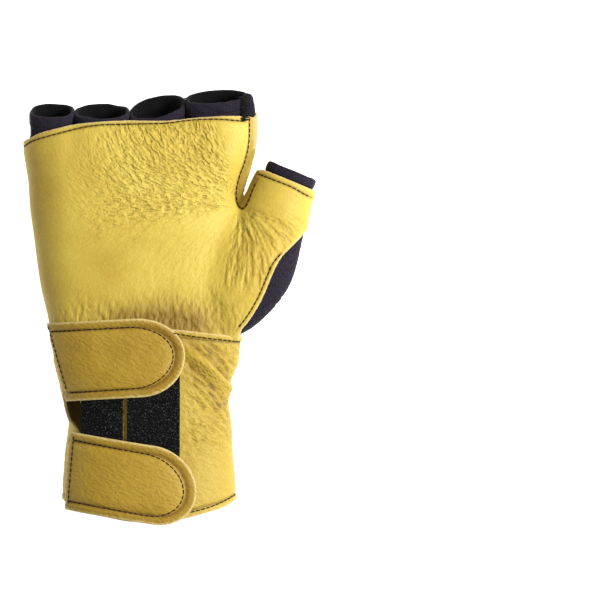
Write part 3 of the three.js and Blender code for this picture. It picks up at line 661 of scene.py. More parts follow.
def seam_share(place):
    """The row of the width table at a place along the seam line."""
    return np.interp(place, [0, len(seam_line) - 1], [0, len(SLOT_FLANGE) - 1])


gap, place = line_distance(fine.plan_x, fine.plan_y, seam_line)
reach = FLANGE_WIDTH * np.interp(seam_share(place), np.arange(len(SLOT_FLANGE)), SLOT_FLANGE)
run = np.gradient(seam_line, axis=0)
near = np.clip(place.round().astype(int), 0, len(seam_line) - 1)
turned = ((fine.plan_x - seam_line[near, 0]) * -run[near, 1]
          + (fine.plan_y - seam_line[near, 1]) * run[near, 0])
beside = np.where(turned > 0, gap, -gap)
at_end = (place <= 0.02) | (place >= len(seam_line) - 1.02)
lip_plan = np.maximum(beside - reach, -beside - 4.0)
lip_plan = np.where(at_end, np.maximum(lip_plan, gap - 0.6), lip_plan)[:, :, None]


def lip(low, high):
    """One layer of the lip between two heights over the split level."""
    level = SPLIT + (low + high) / 2
    return soft_max(lip_plan, np.abs(fine.z - level) - (high - low) / 2, 0.5)


def leather_layer(region, edge_lip):
    """The layer between the leather's faces inside a region, with the lip joined on."""
    outer = soft_min(leather_form - LEATHER_OUT, edge_lip, 1.6)
    body = soft_max(outer, -(leather_form - LEATHER_IN), 0.5)
    return soft_max(body, soft_min(region, edge_lip, 0.4), 0.8)


# %% [markdown]
# ### The two cuts
# Both hides are the same layer over the knit, cut along different outlines. The skin between
# inside and outside is found once for each, and the wrinkles are pressed in afterwards.

# %% Cut both hides from their layer
LIP_GAP = 0.2
upper_lip = lip(LIP_GAP, LIP_GAP + LEATHER_WALL)
lower_lip = lip(-LIP_GAP - LEATHER_WALL, -LIP_GAP)
palm_region = np.minimum(np.maximum(palm_plan, SPLIT + LIP_GAP - fine.z),
                         np.maximum(back_plan, fine.z - SPLIT - 0.4))
palm_region = soft_min(np.maximum(palm_region, thumb_stop), upper_lip, 0.4)
web_region = np.maximum(np.maximum(web_plan, fine.z - SPLIT + LIP_GAP), thumb_stop)
web_region = soft_min(web_region, lower_lip, 0.4)
palm_corners, palm_faces = net(leather_layer(palm_region, upper_lip), fine.step)
web_corners, web_faces = net(leather_layer(web_region, lower_lip), fine.step)
palm_corners, web_corners = relax(palm_corners, palm_faces), relax(web_corners, web_faces)
print("palm hide:", len(palm_faces), "squares; web hide:", len(web_faces))

# %% [markdown]
# ## Wrinkles of the hide
# The thumb pulls the palm hide together at the bottom of the slot, so its wrinkles fan out from
# there: a broken net of them up to the fingers, long folds over the root of the thumb and hardly
# any in the middle. The strap squeezes short upright ones at the wrist. A direction for every
# place, and a share for every zone, say which way they run and how deep they are.

# %% Seam lines of the palm side
def plan(*pairs):
    """Places in plan, in mm to the right of and above the middle of the wrist line."""
    return np.array(pairs, float)


top_seam = smooth_line(plan((-66.0, 92.0), (-64.0, 93.6), (-59.8, 95.7), (-46.8, 99.3),
                            (-36.4, 101.9), (-26.0, 103.5), (-10.4, 104.0), (7.8, 104.5),
                            (20.8, 106.1), (33.8, 106.6), (49.9, 105.6)))
base_seam = smooth_line(plan((68.1, 36.9), (63.4, 30.7), (56.7, 15.1), (51.0, 5.2), (44.7, -3.1)))
thumb_seam = smooth_line(plan((56.2, 78.5), (62.4, 75.9), (72.8, 71.8), (79.6, 68.1), (83.6, 66.2)))
BACK_INSET = 3.0
lap_seam = lap_line + [-BACK_INSET, 0] * np.linspace(0.4, 1, len(lap_line))[:, None]
web_run = np.gradient(web_line, axis=0)
web_run /= np.linalg.norm(web_run, axis=1, keepdims=True)
web_seam = (web_line + BACK_INSET * np.stack([-web_run[:, 1], web_run[:, 0]], 1))[6:-3]
PALM_SEAMS = [top_seam, base_seam, thumb_seam, seam_line[3:-5]]


def groove(x, y, lines, depth, width=0.9):
    """How far the thread pulls the hide in beside its seam lines."""
    gaps = np.min([line_distance(x, y, line)[0] for line in lines], axis=0)
    return depth * np.exp(-((gaps / width) ** 2))


# %% [markdown]
# ### The fan
# The wrinkles of the palm spread from one point near the root of the thumb, so most of them run
# along rings or rays round it. At the strap they turn upright.

# %% The fan of wrinkles
FAN = plan((46.3, 61.0))[0]


def fan(x, y):
    """Angle in degrees from the right, counted past the slot, and reach from the fan's middle."""
    angle = (np.degrees(np.arctan2(y - FAN[1], x - FAN[0])) - 80) % 360 + 80
    return angle, np.hypot(x - FAN[0], y - FAN[1]) + 1.5


def between(value, low, high, soft):
    return ease(low - soft, low + soft, value) * (1 - ease(high - soft, high + soft, value))


UPPER_FLOW = rows("above slope", (0, 3), (12, 24), (23, 38), (31, 50), (42, 72))
upper_slope = column(UPPER_FLOW, "slope", "above")


def palm_flow(x, y):
    """The direction in which the palm's wrinkles run, in radians."""
    angle, reach = fan(x, y)
    over = 180 - upper_slope(y - FAN[1]) - 14 * ease(-10, -50, x)
    under = mix(angle - 20 * (reach / 40) * ease(250, 300, angle), 268.0, ease(26, 8, y))
    return np.radians(mix(over, under, ease(176, 186, angle)))


# Shares of each zone in the relief, in the painted shade of its creases and in the fine lines of
# the material.
ZONES = rows("zone relief dye lines", ("upper", 0.6, 0.15, 0.80), ("soft", 0.1, 0.0, 0.06),
             ("wrist", 0.5, 0.2, 0.16), ("lower", 0.0, 0.0, 0.22))
PLAIN_RELIEF, PLAIN_LINES, FOLD_RELIEF, FOLD_PAINTED_SHADE = 0.05, 0.07, 1.1, 0.24
DEEPEST_WRINKLE, PALM_SWELL, STRAP_HOLLOW, PUFF = 1.25, 0.9, 0.5, 0.4


def wrinkle_zones(x, y):
    """How far each place belongs to the zones that wrinkle in their own way."""
    angle, reach = fan(x, y)
    corner = np.exp(-(((x - 44) / 9) ** 2) - ((y - 103) / 8) ** 2)
    upper = between(angle, 106, 190, 10) * between(reach, 8, 88, 10) * (1 - 0.8 * corner)
    return dict(upper=upper * mix(0.3, 1, ease(-36, -6, x)),
                lower=between(angle, 258, 350, 9) * between(reach, 5, 44, 5),
                soft=between(angle, 190, 258, 12) * between(reach, 6, 70, 12),
                wrist=between(y, -8, 12, 8) * between(x, -44, 48, 12))


def palm_wrinkles(x, y):
    """How far the hide stands out, how much painted shade lies in its creases and how finely it is
    lined.
    """
    zones = wrinkle_zones(x, y)
    relief, dye, lines = (sum(row[key] * zones[row["zone"]] for row in ZONES)
                          for key in ("relief", "dye", "lines"))
    fine_net = (1 - combed(x, y, palm_flow, 1.2, 2.9, 1)) ** 1.5
    fan_net = (1 - combed(x, y, palm_flow, 1.15, 9.0, 2)) ** 1.3 * zones["lower"]
    depth = (relief + PLAIN_RELIEF) * fine_net + FOLD_RELIEF * fan_net
    hollow = STRAP_HOLLOW * np.exp(-(((x + 2) / 26) ** 2) - ((y - 3) / 11) ** 2)
    swell = PALM_SWELL * (noise(x / 21, y / 24, 9) - 0.5)
    push = soft_max(swell + PUFF - hollow - depth, -DEEPEST_WRINKLE + 0 * x, 0.6)
    return push, dye * fine_net + FOLD_PAINTED_SHADE * fan_net, np.clip(PLAIN_LINES + lines, 0, 1)


def palm_shade(x, y):
    """Painted shade: a contact shadow beside the strap, the little finger's flank turned from the
    key light and a faint patch below the thumb slot.
    """
    patchy = 0.85 + 0.6 * noise(x / 3, y / 5, 51)
    strap = np.exp(-(((x - 6) / 32) ** 2) - ((y + 1) / 13) ** 2) * patchy
    slot = 0.08 * np.exp(-(((x - 54) / 9) ** 2) - ((y - 50) / 10) ** 2)
    flank = 0.42 * between(x, -70, -46, 7) * mix(0.25, 1, ease(-66, -58, x))
    return np.clip(1.15 * strap + flank + slot, 0, 1)


def finish_hide(name, slot_node, corners, faces, region, lines):
    """Wrinkles the outer face of a hide, pulls in its seams and marks edges for the material."""
    height = sample(leather_form, corners, fine.step)
    inside = sample(region, corners, fine.step)
    outer = ease(1.1, 1.8, height)
    normal = normals_of(corners, faces)
    x, y = corners[:, 0], corners[:, 1]
    above = ease(SPLIT - 1, SPLIT + 1, corners[:, 2])
    away = ease(0.6, 3.0, -inside)
    swell, deep, fine_lines = palm_wrinkles(x, y)
    push = swell * above * away + 0.35 * (noise(x / 5, y / 5, 17) - 0.5) * (1 - above) * away
    # Painted shade on the palm side: the marks of palm_shade and the crease shade of the wrinkles,
    # here called deep.
    shade = np.maximum(palm_shade(x, y), deep * away) * above
    for side, seams, depth in lines:
        face = above if side > 0 else 1 - above
        push = push - groove(x, y, seams, depth) * face
        # Painted shade in the groove beside each row of stitches.
        shade = np.maximum(shade, groove(x, y, seams, 0.9, 0.75) * face)
    # Painted shade on the band of the lip outside the slot seam.
    flange = sample(np.repeat(beside[:, :, None], 2, axis=2), corners, fine.step)
    shade = np.maximum(shade, 0.6 * between(flange, 0.3, 5.5, 0.4))
    corners = corners + normal * (push * outer)[:, None]
    hide = make_object(name, *keep_skin(name, corners, faces))
    note(hide, "raw", ease(-1.0, -0.25, inside + 0.5 * (noise(x / 0.8, y / 0.8, 19) - 0.5)))
    note(hide, "inner_face", 1 - ease(0.5, 1.1, height))
    note(hide, "shade", shade)
    note_lines(hide, palm_flow(x, y), mix(0.14, fine_lines, above * away))
    return stand_for(hide, "leather", slot_node)


# %% [markdown]
# ### Finish both hides
# Every corner moves out or in along its own normal, less near a raw edge and deeper in a seam.
# The seams of the palm lie on its palm side, and the back has a seam of its own.

# %% Both hides
PALM_SIDE, BACK_SIDE, SEAM_DEPTH, SLOT_SEAM_DEPTH = 1, -1, 0.5, 0.9
palm_leather = finish_hide("palm_hide", "palm_leather", palm_corners, palm_faces, palm_region,
                           [(PALM_SIDE, PALM_SEAMS[:3], SEAM_DEPTH),
                            (PALM_SIDE, PALM_SEAMS[3:], SLOT_SEAM_DEPTH),
                            (BACK_SIDE, [lap_seam], SEAM_DEPTH)])
web_leather = finish_hide("web_hide", "web_leather", web_corners, web_faces, web_region,
                          [(BACK_SIDE, [web_seam], SEAM_DEPTH)])

# %% [markdown]
# ## The wrist cuff
# The cuff is one flat hide bent round the wrist and left open at the little finger's side, where
# the strap pulls it together. Its form is the hand's near the palm and an oval tube below, with
# a few deep folds where it has been bent.

# %% Tables of the cuff
CUFF = rows(
    "along left right top",
    (0, -0.60, 0.555, 0.98), (0.13, -0.565, 0.525, 0.98), (0.25, -0.537, 0.480, 0.96),
    (0.36, -0.508, 0.458, 0.95), (0.50, -0.478, 0.472, 0.95), (0.66, -0.495, 0.487, 0.97),
    (0.80, -0.509, 0.500, 0.99), (1.02, -0.500, 0.503, 1.0),
)
CUFF_EDGES = rows(
    "angle top bottom",
    (-90, -0.005, 0.97), (-45, 0.035, 0.905), (0, 0.055, 0.87), (45, 0.045, 0.925),
    (90, 0.012, 0.98), (140, 0, 0.915), (180, 0, 0.87), (225, 0, 0.915), (270, -0.005, 0.97),
)
UNDERLAP, CUFF_END = 139, 152
NOTCH = dict(along=0.42, half=0.11, angle=24)
CREASES = rows(
    "face x0 y0 x1 y1 depth half",
    ("palm", 0.28, 0.20, 0.50, 0.36, 1.7, 3.0), ("palm", 0.28, 0.39, 0.50, 0.52, 1.5, 3.2),
    ("palm", 0.28, 0.29, 0.49, 0.43, -1.3, 4.0), ("back", 0.25, 0.30, -0.35, 0.50, 1.6, 5.5),
    ("back", 0, 0.20, -0.38, 0.34, -1.1, 6.0),
)
cuff_left, cuff_right, cuff_top = (column(CUFF, key) for key in ("left", "right", "top"))
edge_top, edge_bottom = (column(CUFF_EDGES, key, "angle") for key in ("top", "bottom"))


# %% [markdown]
# ### Round the wrist
# The cuff is a tapered tube with a wide flat front. A place on it is an angle round the wrist and
# a height, and its upper and lower edges bow.

# %% The cuff's surface
def cuff_section(y, offset):
    hand = hand_section(np.maximum(y, -CUFF_OVERLAP))
    along = -y / CUFF_LENGTH
    left, right = CUFF_WIDTH * cuff_left(along), CUFF_WIDTH * cuff_right(along)
    top, grow = CUFF_DEPTH * cuff_top(along), offset - CUFF_OUT
    blend = ease(CUFF_OVERLAP, 2.2 * CUFF_OVERLAP, -y)
    waist = 0.45 * top
    return dict(
        middle=mix(hand["middle"], (left + right) / 2, blend),
        half=mix(hand["half"] + offset, (right - left) / 2 + grow, blend),
        waist=mix(hand["waist"], waist, blend),
        rise=mix(hand["top"] - hand["waist"] + offset, top - waist + grow, blend),
        drop=mix(hand["waist"] - hand["under"] + 2.5 + offset, waist + 2.5 + grow, blend),
        floor=mix(hand["under"] - offset, -grow, blend),
        upper=mix(2.5, 2.3, blend), lower=mix(2.7, 2.5, blend),
    )


def section_point(s, angle):
    c, v = np.cos(angle), np.sin(angle)
    power = 2 / np.where(v >= 0, s["upper"], s["lower"])
    reach = np.where(v >= 0, s["rise"], s["drop"])
    x = s["middle"] + s["half"] * np.sign(c) * np.abs(c) ** power
    return x, np.maximum(s["waist"] + reach * np.sign(v) * np.abs(v) ** power, s["floor"])


def crease_depth(x, y, angle):
    depth = 0
    for crease in CREASES:
        start = np.array([crease["x0"] * CUFF_WIDTH, -crease["y0"] * CUFF_LENGTH])
        run = np.array([crease["x1"] * CUFF_WIDTH, -crease["y1"] * CUFF_LENGTH]) - start
        share = ((x - start[0]) * run[0] + (y - start[1]) * run[1]) / (run @ run)
        away = np.abs((x - start[0]) * run[1] - (y - start[1]) * run[0]) / np.hypot(*run)
        ends = ease(-0.25, 0.2, share) * ease(-0.25, 0.1, 1 - share)
        here = (np.sin(angle) >= 0) == (crease["face"] == "palm")
        depth = depth + here * crease["depth"] * ends * np.exp(-((away / crease["half"]) ** 2))
    return depth


def cuff_point(angle, y, offset):
    x0, _ = section_point(cuff_section(y, offset), angle)
    sunk = offset - crease_depth(x0, y, angle) * np.abs(np.sin(angle))
    x, z = section_point(cuff_section(y, sunk), angle)
    return np.stack([x, y + 0 * x, np.maximum(z, CUFF_OUT - offset)], -1)


def wrap_degrees(angle):
    return (np.degrees(angle) + 90) % 360 - 90


# %% [markdown]
# ## Thick sheets
# Every cut piece of hide has a wall and a rounded, slightly swollen edge. A sheet is laid out on
# an even grid with a few close rows near its edges, and its two faces draw together over the
# last millimetre, so the edge catches the light as cut leather does.

# %% A closed sheet with rounded edges
def edge_rows(length, step, rim=(0, 0.12, 0.35, 0.75, 1.3)):
    """Shares from 0 to 1 with close rows near both ends; length and step in mm."""
    rim = np.array(rim) / length
    inner = np.linspace(rim[-1], 1 - rim[-1], max(3, int(length / step)))
    return np.concatenate([rim[:-1], inner, (1 - rim[:-1])[::-1]])


def thick_sheet(outer, inner):
    """Corners and faces between two grids of points of the same shape (n, m, 3)."""
    n, m = outer.shape[:2]
    number = np.arange(2 * n * m).reshape(2, n, m)

    def squares(a):
        return np.stack([a[:-1, :-1], a[1:, :-1], a[1:, 1:], a[:-1, 1:]], -1).reshape(-1, 4)

    faces = [squares(number[0]), squares(number[1])[:, ::-1]]
    for low, high in ((number[0, :, 0], number[1, :, 0]), (number[1, :, -1], number[0, :, -1]),
                      (number[1, 0], number[0, 0]), (number[0, -1], number[1, -1])):
        faces.append(np.stack([low[1:], low[:-1], high[:-1], high[1:]], -1))
    points = np.concatenate([outer.reshape(-1, 3), inner.reshape(-1, 3)])
    return points, outward(points, np.concatenate(faces))


def rounding(edge, radius=0.8):
    """How much of the wall is left at a distance from the edge."""
    t = 1 - np.clip(edge / radius, 0, 1)
    return np.sqrt(np.maximum(1 - t**2.2, 0.0009))


def build_sheet(name, key, surface, low, high, edge, bump, shade=0.0, flow=-0.38, lines=0.28):
    """A wall from low to high over surface(offset), rounded at its edge, bumped on its outside."""
    middle, half = (low + high) / 2, (high - low) / 2 * rounding(edge)
    piece = make_object(name, *keep_skin(key, *thick_sheet(surface(middle + half + bump),
                                                           surface(middle - half))))
    fray = 0.7 * (np.random.default_rng(7).random(edge.shape) - 0.5)
    raw = (1 - ease(0.45, 1.35, edge + fray)).ravel()
    note(piece, "raw", np.concatenate([raw, raw]))
    note(piece, "inner_face", np.concatenate([0 * raw, 1 - raw]))
    note(piece, "shade", np.concatenate([(shade + 0 * edge).ravel(), 0 * raw]))
    note_lines(piece, np.concatenate([(flow + 0 * edge).ravel(), 0 * raw]),
               np.concatenate([(lines + 0 * edge).ravel(), 0 * raw]))
    return piece


def hide_grain(x, y, turn, size=1.0):
    """Fine slanted wrinkles of loose hide over a slow swell."""
    fine_net = combed(x, y, lambda px, py: np.radians(-22 + 0 * px), 1.3, 4.0, turn)
    return 0.16 * size * (fine_net - 1) + 0.6 * (0.5 - noise(x / 10, y / 12, turn + 2))


# %% [markdown]
# ### The cuff's own rows
# The cuff is laid out like cloth on a table, in rows along and across. It is open at the little
# finger's side, and its end is notched there.

# %% Lay out the cuff
CUFF_RUN, CUFF_TALL, CUFF_ROW = 290.0, 94.0, 3.8
cuff_u, cuff_v = np.meshgrid(edge_rows(CUFF_RUN, 0.82), edge_rows(CUFF_TALL, 0.82), indexing="ij")
down = mix(edge_bottom(180.0), edge_top(180.0), cuff_v)
half = np.where(down > NOTCH["along"], 0.6, 1.0) * NOTCH["half"]
notch = NOTCH["angle"] * np.exp(-(((down - NOTCH["along"]) / half) ** 2))
cuff_stop = CUFF_END + notch - 9 * ease(0.45, 0.52, down)
cuff_angle = np.radians(mix(UNDERLAP + 0 * notch, cuff_stop - 360, cuff_u))
cuff_y = mix(-CUFF_LENGTH * edge_bottom(wrap_degrees(cuff_angle)),
             -CUFF_LENGTH * edge_top(wrap_degrees(cuff_angle)), cuff_v)
cuff_x = section_point(cuff_section(cuff_y, CUFF_OUT), cuff_angle)[0]
cuff_rim = np.minimum(cuff_v, 1 - cuff_v) * CUFF_TALL
cuff_edge = np.minimum(np.minimum(cuff_u, 1 - cuff_u) * CUFF_RUN, cuff_rim)

# %% [markdown]
# ### How the cuff folds
# Below the thumb a soft roll stands up between slanting valleys, and on the back it sags in long
# dents. Short slanted wrinkles fill the space beside the roll.

# %% Folds of the cuff
on_palm_face = ease(-0.05, 0.25, np.sin(cuff_angle))


def fold_line(start, end, half, bow=1.6):
    """A long fold across the cuff between two points in plan, 1 along its middle."""
    run = end - start
    share = ((cuff_x - start[0]) * run[0] + (cuff_y - start[1]) * run[1]) / (run @ run)
    away = ((cuff_x - start[0]) * run[1] - (cuff_y - start[1]) * run[0]) / np.hypot(*run)
    away = away + bow * np.sin(np.pi * np.clip(share, 0, 1))
    away = away + 0.5 * (noise(share * 6, 0 * share, 35) - 0.5)
    ends = ease(-0.15, 0.2, share) * ease(-0.1, 0.25, 1.05 - share)
    return ends * np.exp(-((away / half) ** 2))


PALM_VALLEYS = [((20.8, -9.4), (43.2, -30.7), 1.0, 1.0), ((23.9, -8.3), (44.7, -27.6), 0.9, 0.7),
                ((28.6, -8.8), (45.8, -23.9), 0.9, 0.5), ((18.7, -19.2), (42.6, -44.7), 1.1, 1.0),
                ((17.7, -22.9), (43.2, -49.4), 1.0, 0.9), ((17.7, -27.6), (40.6, -51.5), 0.9, 0.5),
                ((18.7, -34.8), (39.5, -56.7), 0.9, 0.3)]
BACK_VALLEYS = [((-10.4, -28.6), (-41.6, -38.0), 1.4, 0.8),
                ((-8.3, -37.4), (-46.8, -51.5), 1.6, 0.9),
                ((39.5, -24.4), (0.0, -34.8), 1.5, 0.6),
                ((37.4, -39.0), (0.0, -49.4), 1.4, 0.6)]


def pressed(valleys):
    """How deep the cuff is folded in, from the start, end, half width and depth of each fold."""
    return sum(fold_line(*plan(start, end), half) * depth for start, end, half, depth in valleys)


ridge = fold_line(*plan((19.8, -14.0), (43.7, -38.0)), 3.2) * on_palm_face
valleys = pressed(PALM_VALLEYS) * on_palm_face + pressed(BACK_VALLEYS) * (1 - on_palm_face)


def cuff_flow(x, y):
    """Along the folds beside the thumb, and flatter further down."""
    return np.radians(-12 - 34 * ease(-70, -25, y))


in_folds = (between(cuff_x / CUFF_WIDTH, 0.22, 0.60, 0.06)
            * between(-cuff_y / CUFF_LENGTH, 0.06, 0.62, 0.1))
slanted = (1 - combed(cuff_x, cuff_y, cuff_flow, 1.3, 3.6, 31)) ** 1.4 * (0.2 + 0.8 * in_folds)
slanted = slanted * on_palm_face * (1 - 0.85 * ridge)
cuff_bump = hide_grain(cuff_x, cuff_y, 33, 1.3) - 0.1 - 0.55 * slanted + 3.0 * ridge - 1.5 * valleys
cuff_bump = cuff_bump * ease(0.4, 2.5, cuff_edge)
cuff_bump = cuff_bump - 0.45 * np.exp(-(((cuff_rim - CUFF_ROW) / 0.8) ** 2))
cuff_bump = cuff_bump + 0.25 * ease(1.0, 2.0, cuff_rim) * (1 - ease(2.4, 3.4, cuff_rim))
# Painted shade in the cuff's stitch grooves, along its fold valleys and in its slanted wrinkles.
cuff_shade = np.maximum(0.9 * np.exp(-(((cuff_rim - CUFF_ROW) / 0.75) ** 2)),
                        np.clip((0.35 + 0.5 * slanted) * valleys + 0.2 * slanted, 0, 0.9))
cuff = build_sheet("wrist_hide", "cuff", lambda o: cuff_point(cuff_angle, cuff_y, o),
                   CUFF_IN, CUFF_OUT, cuff_edge, cuff_bump, cuff_shade, cuff_flow(cuff_x, cuff_y),
                   0.14 + 0.4 * in_folds * on_palm_face)
stand_for(cuff, "leather", "wrist_cuff")


# %% [markdown]
# ## Loop tapes and straps on the palm side of the cuff
# These are laid on the cuff's palm face, so a place on them is a place in plan and a height over
# the cuff. The straps lie flat on the tape and come down to the cuff at their sewn roots. Their
# round ends are puffed inside the stitching and curl up a little at the raw rim.

# %% Places over the cuff's palm face
def palm_angle(x, y):
    s = cuff_section(y, CUFF_OUT)
    share = np.clip((x - s["middle"]) / s["half"], -1, 1)
    return np.arccos(np.sign(share) * np.abs(share) ** (s["upper"] / 2))


def over_cuff(x, y, offset):
    return cuff_point(palm_angle(x, y), y, offset)


STRAPS = rows("name root_top root_bottom root_middle tip tip_middle",
              ("upper", -0.575, -0.455, 0.185, 0.19, 0.150),
              ("lower", -0.435, -0.462, 0.722, 0.25, 0.825))
TAPES = rows("name left width", ("inner", -0.381, 0.84), ("outer", -0.121, 1.04))
TAPE_ENDS = (0.06, 0.89)


def strap_place(row, u, v, inset=0.0):
    half, root_low = STRAP_WIDTH / 2, CUFF_WIDTH * row["root_bottom"]
    root = mix(root_low, CUFF_WIDTH * row["root_top"], v)
    tip = CUFF_WIDTH * row["tip"] - inset
    turn = (tip - root_low - half) / (tip - root_low)
    curve = turn + (1 - turn) * np.sin((u - 0.6) / 0.4 * np.pi / 2)
    share = np.where(u < 0.6, u / 0.6 * turn, curve)
    bow = np.sqrt(np.maximum(0, 1 - (np.maximum(0, share - turn) / (1 - turn)) ** 2))
    middle = mix(row["root_middle"], row["tip_middle"], share)
    spread = (half - inset) * np.maximum(bow, 0.04 if inset == 0 else 0.02) * (2 * v - 1)
    return mix(root, tip, share), -CUFF_LENGTH * middle + spread


def strap_lift(x):
    """The strap climbs from its sewn root over the loop tape and on over the hook tape."""
    lifts = [STRAP_ROOT_IN, TAPE_OUT + 0.4, TAPE_OUT + 0.9, STRAP_IN]
    return np.interp(x / CUFF_WIDTH, [-0.56, -0.38, -0.30, -0.10], lifts)


def strap_outline(row, inset=0.0):
    """The strap's outline in plan from its root round the tip and back."""
    u = np.linspace(0, 1, 70)
    low = np.stack(strap_place(row, u, 0 * u, inset), -1)
    high = np.stack(strap_place(row, u, 0 * u + 1, inset), -1)
    return np.vstack([low, high[::-1]])


# %% [markdown]
# ### The straps
# Each strap is puffed inside its row of stitches, pressed down along it and a little curled at
# the round end. The row across its root holds it to the cuff.

# %% Build the straps
ROOT_SEAMS = dict(upper=plan((-52.5, -0.5), (-42.1, -35.9)),
                  lower=plan((-39.0, -57.2), (-42.1, -94.1)))
strap_u = np.concatenate([np.linspace(0, 0.012, 4), np.linspace(0.025, 0.985, 120),
                          [0.992, 0.997, 1.0]])
strap_pieces = []
for turn, row in enumerate(STRAPS):
    u, v = np.meshgrid(strap_u, edge_rows(STRAP_WIDTH, 0.7), indexing="ij")
    x, y = strap_place(row, u, v)
    outline = strap_outline(row)
    edge = line_distance(x, y, np.vstack([outline, outline[:1]]))[0]
    rim = line_distance(x, y, outline)[0]
    puff = 0.7 * ease(STRAP_MARGIN, STRAP_MARGIN + 5, rim) + 0.3 * between(rim, 1.2, 3.4, 0.8)
    root_seam = ROOT_SEAMS[row["name"]]
    seam = 0.65 * np.exp(-(((rim - STRAP_MARGIN) / 0.9) ** 2)) + groove(x, y, [root_seam], 0.5)
    bump = puff - 0.3 - seam + hide_grain(x, y, 41 + 5 * turn) * ease(0.5, 3, edge)
    curl = 0.5 * (1 - ease(0, 3.5, rim)) * noise(x / 13, y / 13, 44 + turn)
    curl = curl * ease(-0.3, 0.1, x / CUFF_WIDTH)
    low = strap_lift(x) + curl
    root_gap = line_distance(x, y, root_seam)[0]
    # Painted shade in the stitch and root grooves and on the band between the rim and the
    # stitching.
    shade = np.maximum(0.9 * np.exp(-((np.minimum(abs(rim - STRAP_MARGIN), root_gap) / 0.75) ** 2)),
                       0.22 * between(rim, 1.0, 4.2, 0.6))
    strap = build_sheet(row["name"] + "_strap_hide", row["name"], lambda o: over_cuff(x, y, o),
                        low, low + LEATHER_WALL, edge, bump, shade)
    strap_pieces.append(stand_for(strap, "leather", row["name"] + "_strap"))

# %% [markdown]
# ### The loop tapes
# Loop tape is a thin cloth with a rough nap, so its face is uneven at every millimetre.

# %% Build the loop tapes
tape_pieces = []
for turn, row in enumerate(TAPES):
    wide, tall = row["width"] * TAPE_WIDTH, (TAPE_ENDS[1] - TAPE_ENDS[0]) * CUFF_LENGTH
    u, v = np.meshgrid(edge_rows(wide, 0.45), edge_rows(tall, 0.45), indexing="ij")
    x, y = row["left"] * CUFF_WIDTH + u * wide, -CUFF_LENGTH * mix(TAPE_ENDS[1], TAPE_ENDS[0], v)
    edge = np.minimum(np.minimum(u, 1 - u) * wide, np.minimum(v, 1 - v) * tall)
    nap = 0.45 * noise(x / 0.9, y / 0.9, 11 + turn)
    nap = nap + 0.3 * noise(x / 0.45, y / 0.45, 13 + turn) - 0.45
    tape = build_sheet(row["name"] + "_loop_cloth", row["name"] + "_tape",
                       lambda o: over_cuff(x, y, o), TAPE_IN, TAPE_OUT, edge, nap)
    tape_pieces.append(stand_for(tape, "loop_tape", row["name"] + "_loop_tape"))


# %% [markdown]
# ## Folded hems
# The five openings are finished with the knit folded inwards and sewn a little below the rim.
# The fold is soft, so the rim bulges, puckers between the stitches and sags unevenly.

# %% Rings of the openings
def signed_power(a, power):
    return np.sign(a) * np.abs(a) ** power


def stall_ring(finger, share, angle, offset):
    left, right = HAND_WIDTH * finger["left"], HAND_WIDTH * finger["right"]
    lean = math.radians(finger["tip"]) * ease(0.2, 1, share)
    half = (right - left) / 2 * mix(STALL_ROOT["width"], 1, ease(0, 0.5, share)) + offset
    bend = ease(0, 1, share)
    deep = FINGER_DEPTH * finger["depth"] * mix(STALL_ROOT["depth"], 1, bend) / 2 + offset
    middle = (left + right) / 2
    x = middle + half * signed_power(np.cos(angle), 2 / STALL_SQUARE)
    w = deep * signed_power(np.sin(angle), 2 / STALL_SQUARE)
    y = HAND_LENGTH * mix(STALL_ROOT["along"], finger["rim"], share) - w * np.sin(lean)
    y = y + finger["skew"] * (x - middle) * np.minimum(1, share)
    z = HAND_DEPTH * mix(STALL_ROOT["height"], RIM_HEIGHT, bend) + w * np.cos(lean)
    return np.stack([x, y, np.maximum(z, LEATHER_OUT - offset)], -1)


def thumb_ring(shift, angle, offset):
    place, along = thumb_place(THUMB_END), thumb_direction(THUMB_END)
    half, deep = THUMB_WIDTH / 2 + offset, THUMB_DEPTH / 2 + offset
    across = half * np.cos(angle)
    z = np.maximum(HAND_DEPTH * 0.56 + deep * np.sin(angle), LEATHER_OUT - offset)
    return np.stack([place[0] + along[0] * shift + along[1] * across,
                     place[1] + along[1] * shift - along[0] * across, z], -1)


def hem_profile():
    """The hem in mm: distance below the rim and offset, from the outside round to the inside."""
    outside = [(HEM_HEIGHT + 1.6, -0.5), (HEM_HEIGHT + 1.2, 0.1), (HEM_HEIGHT, 0.35)]
    swell = [(d, 0.4 + 0.25 * math.sin(math.pi * d / HEM_HEIGHT))
             for d in np.linspace(5.9, 0.9, 11)]
    fold = [(0.9 - 0.9 * math.sin(a), -0.45 + 0.9 * math.cos(a))
            for a in np.linspace(0.2, 2.94, 9)]
    inside = [(d, -1.35 - 0.1 * math.sin(math.pi * d / 8)) for d in np.linspace(0.9, 8.0, 9)]
    return np.array(outside + swell + fold + inside)


HEM_RINGS, HEM_SEAM, HEM_SIDES = {}, 5.2, 144


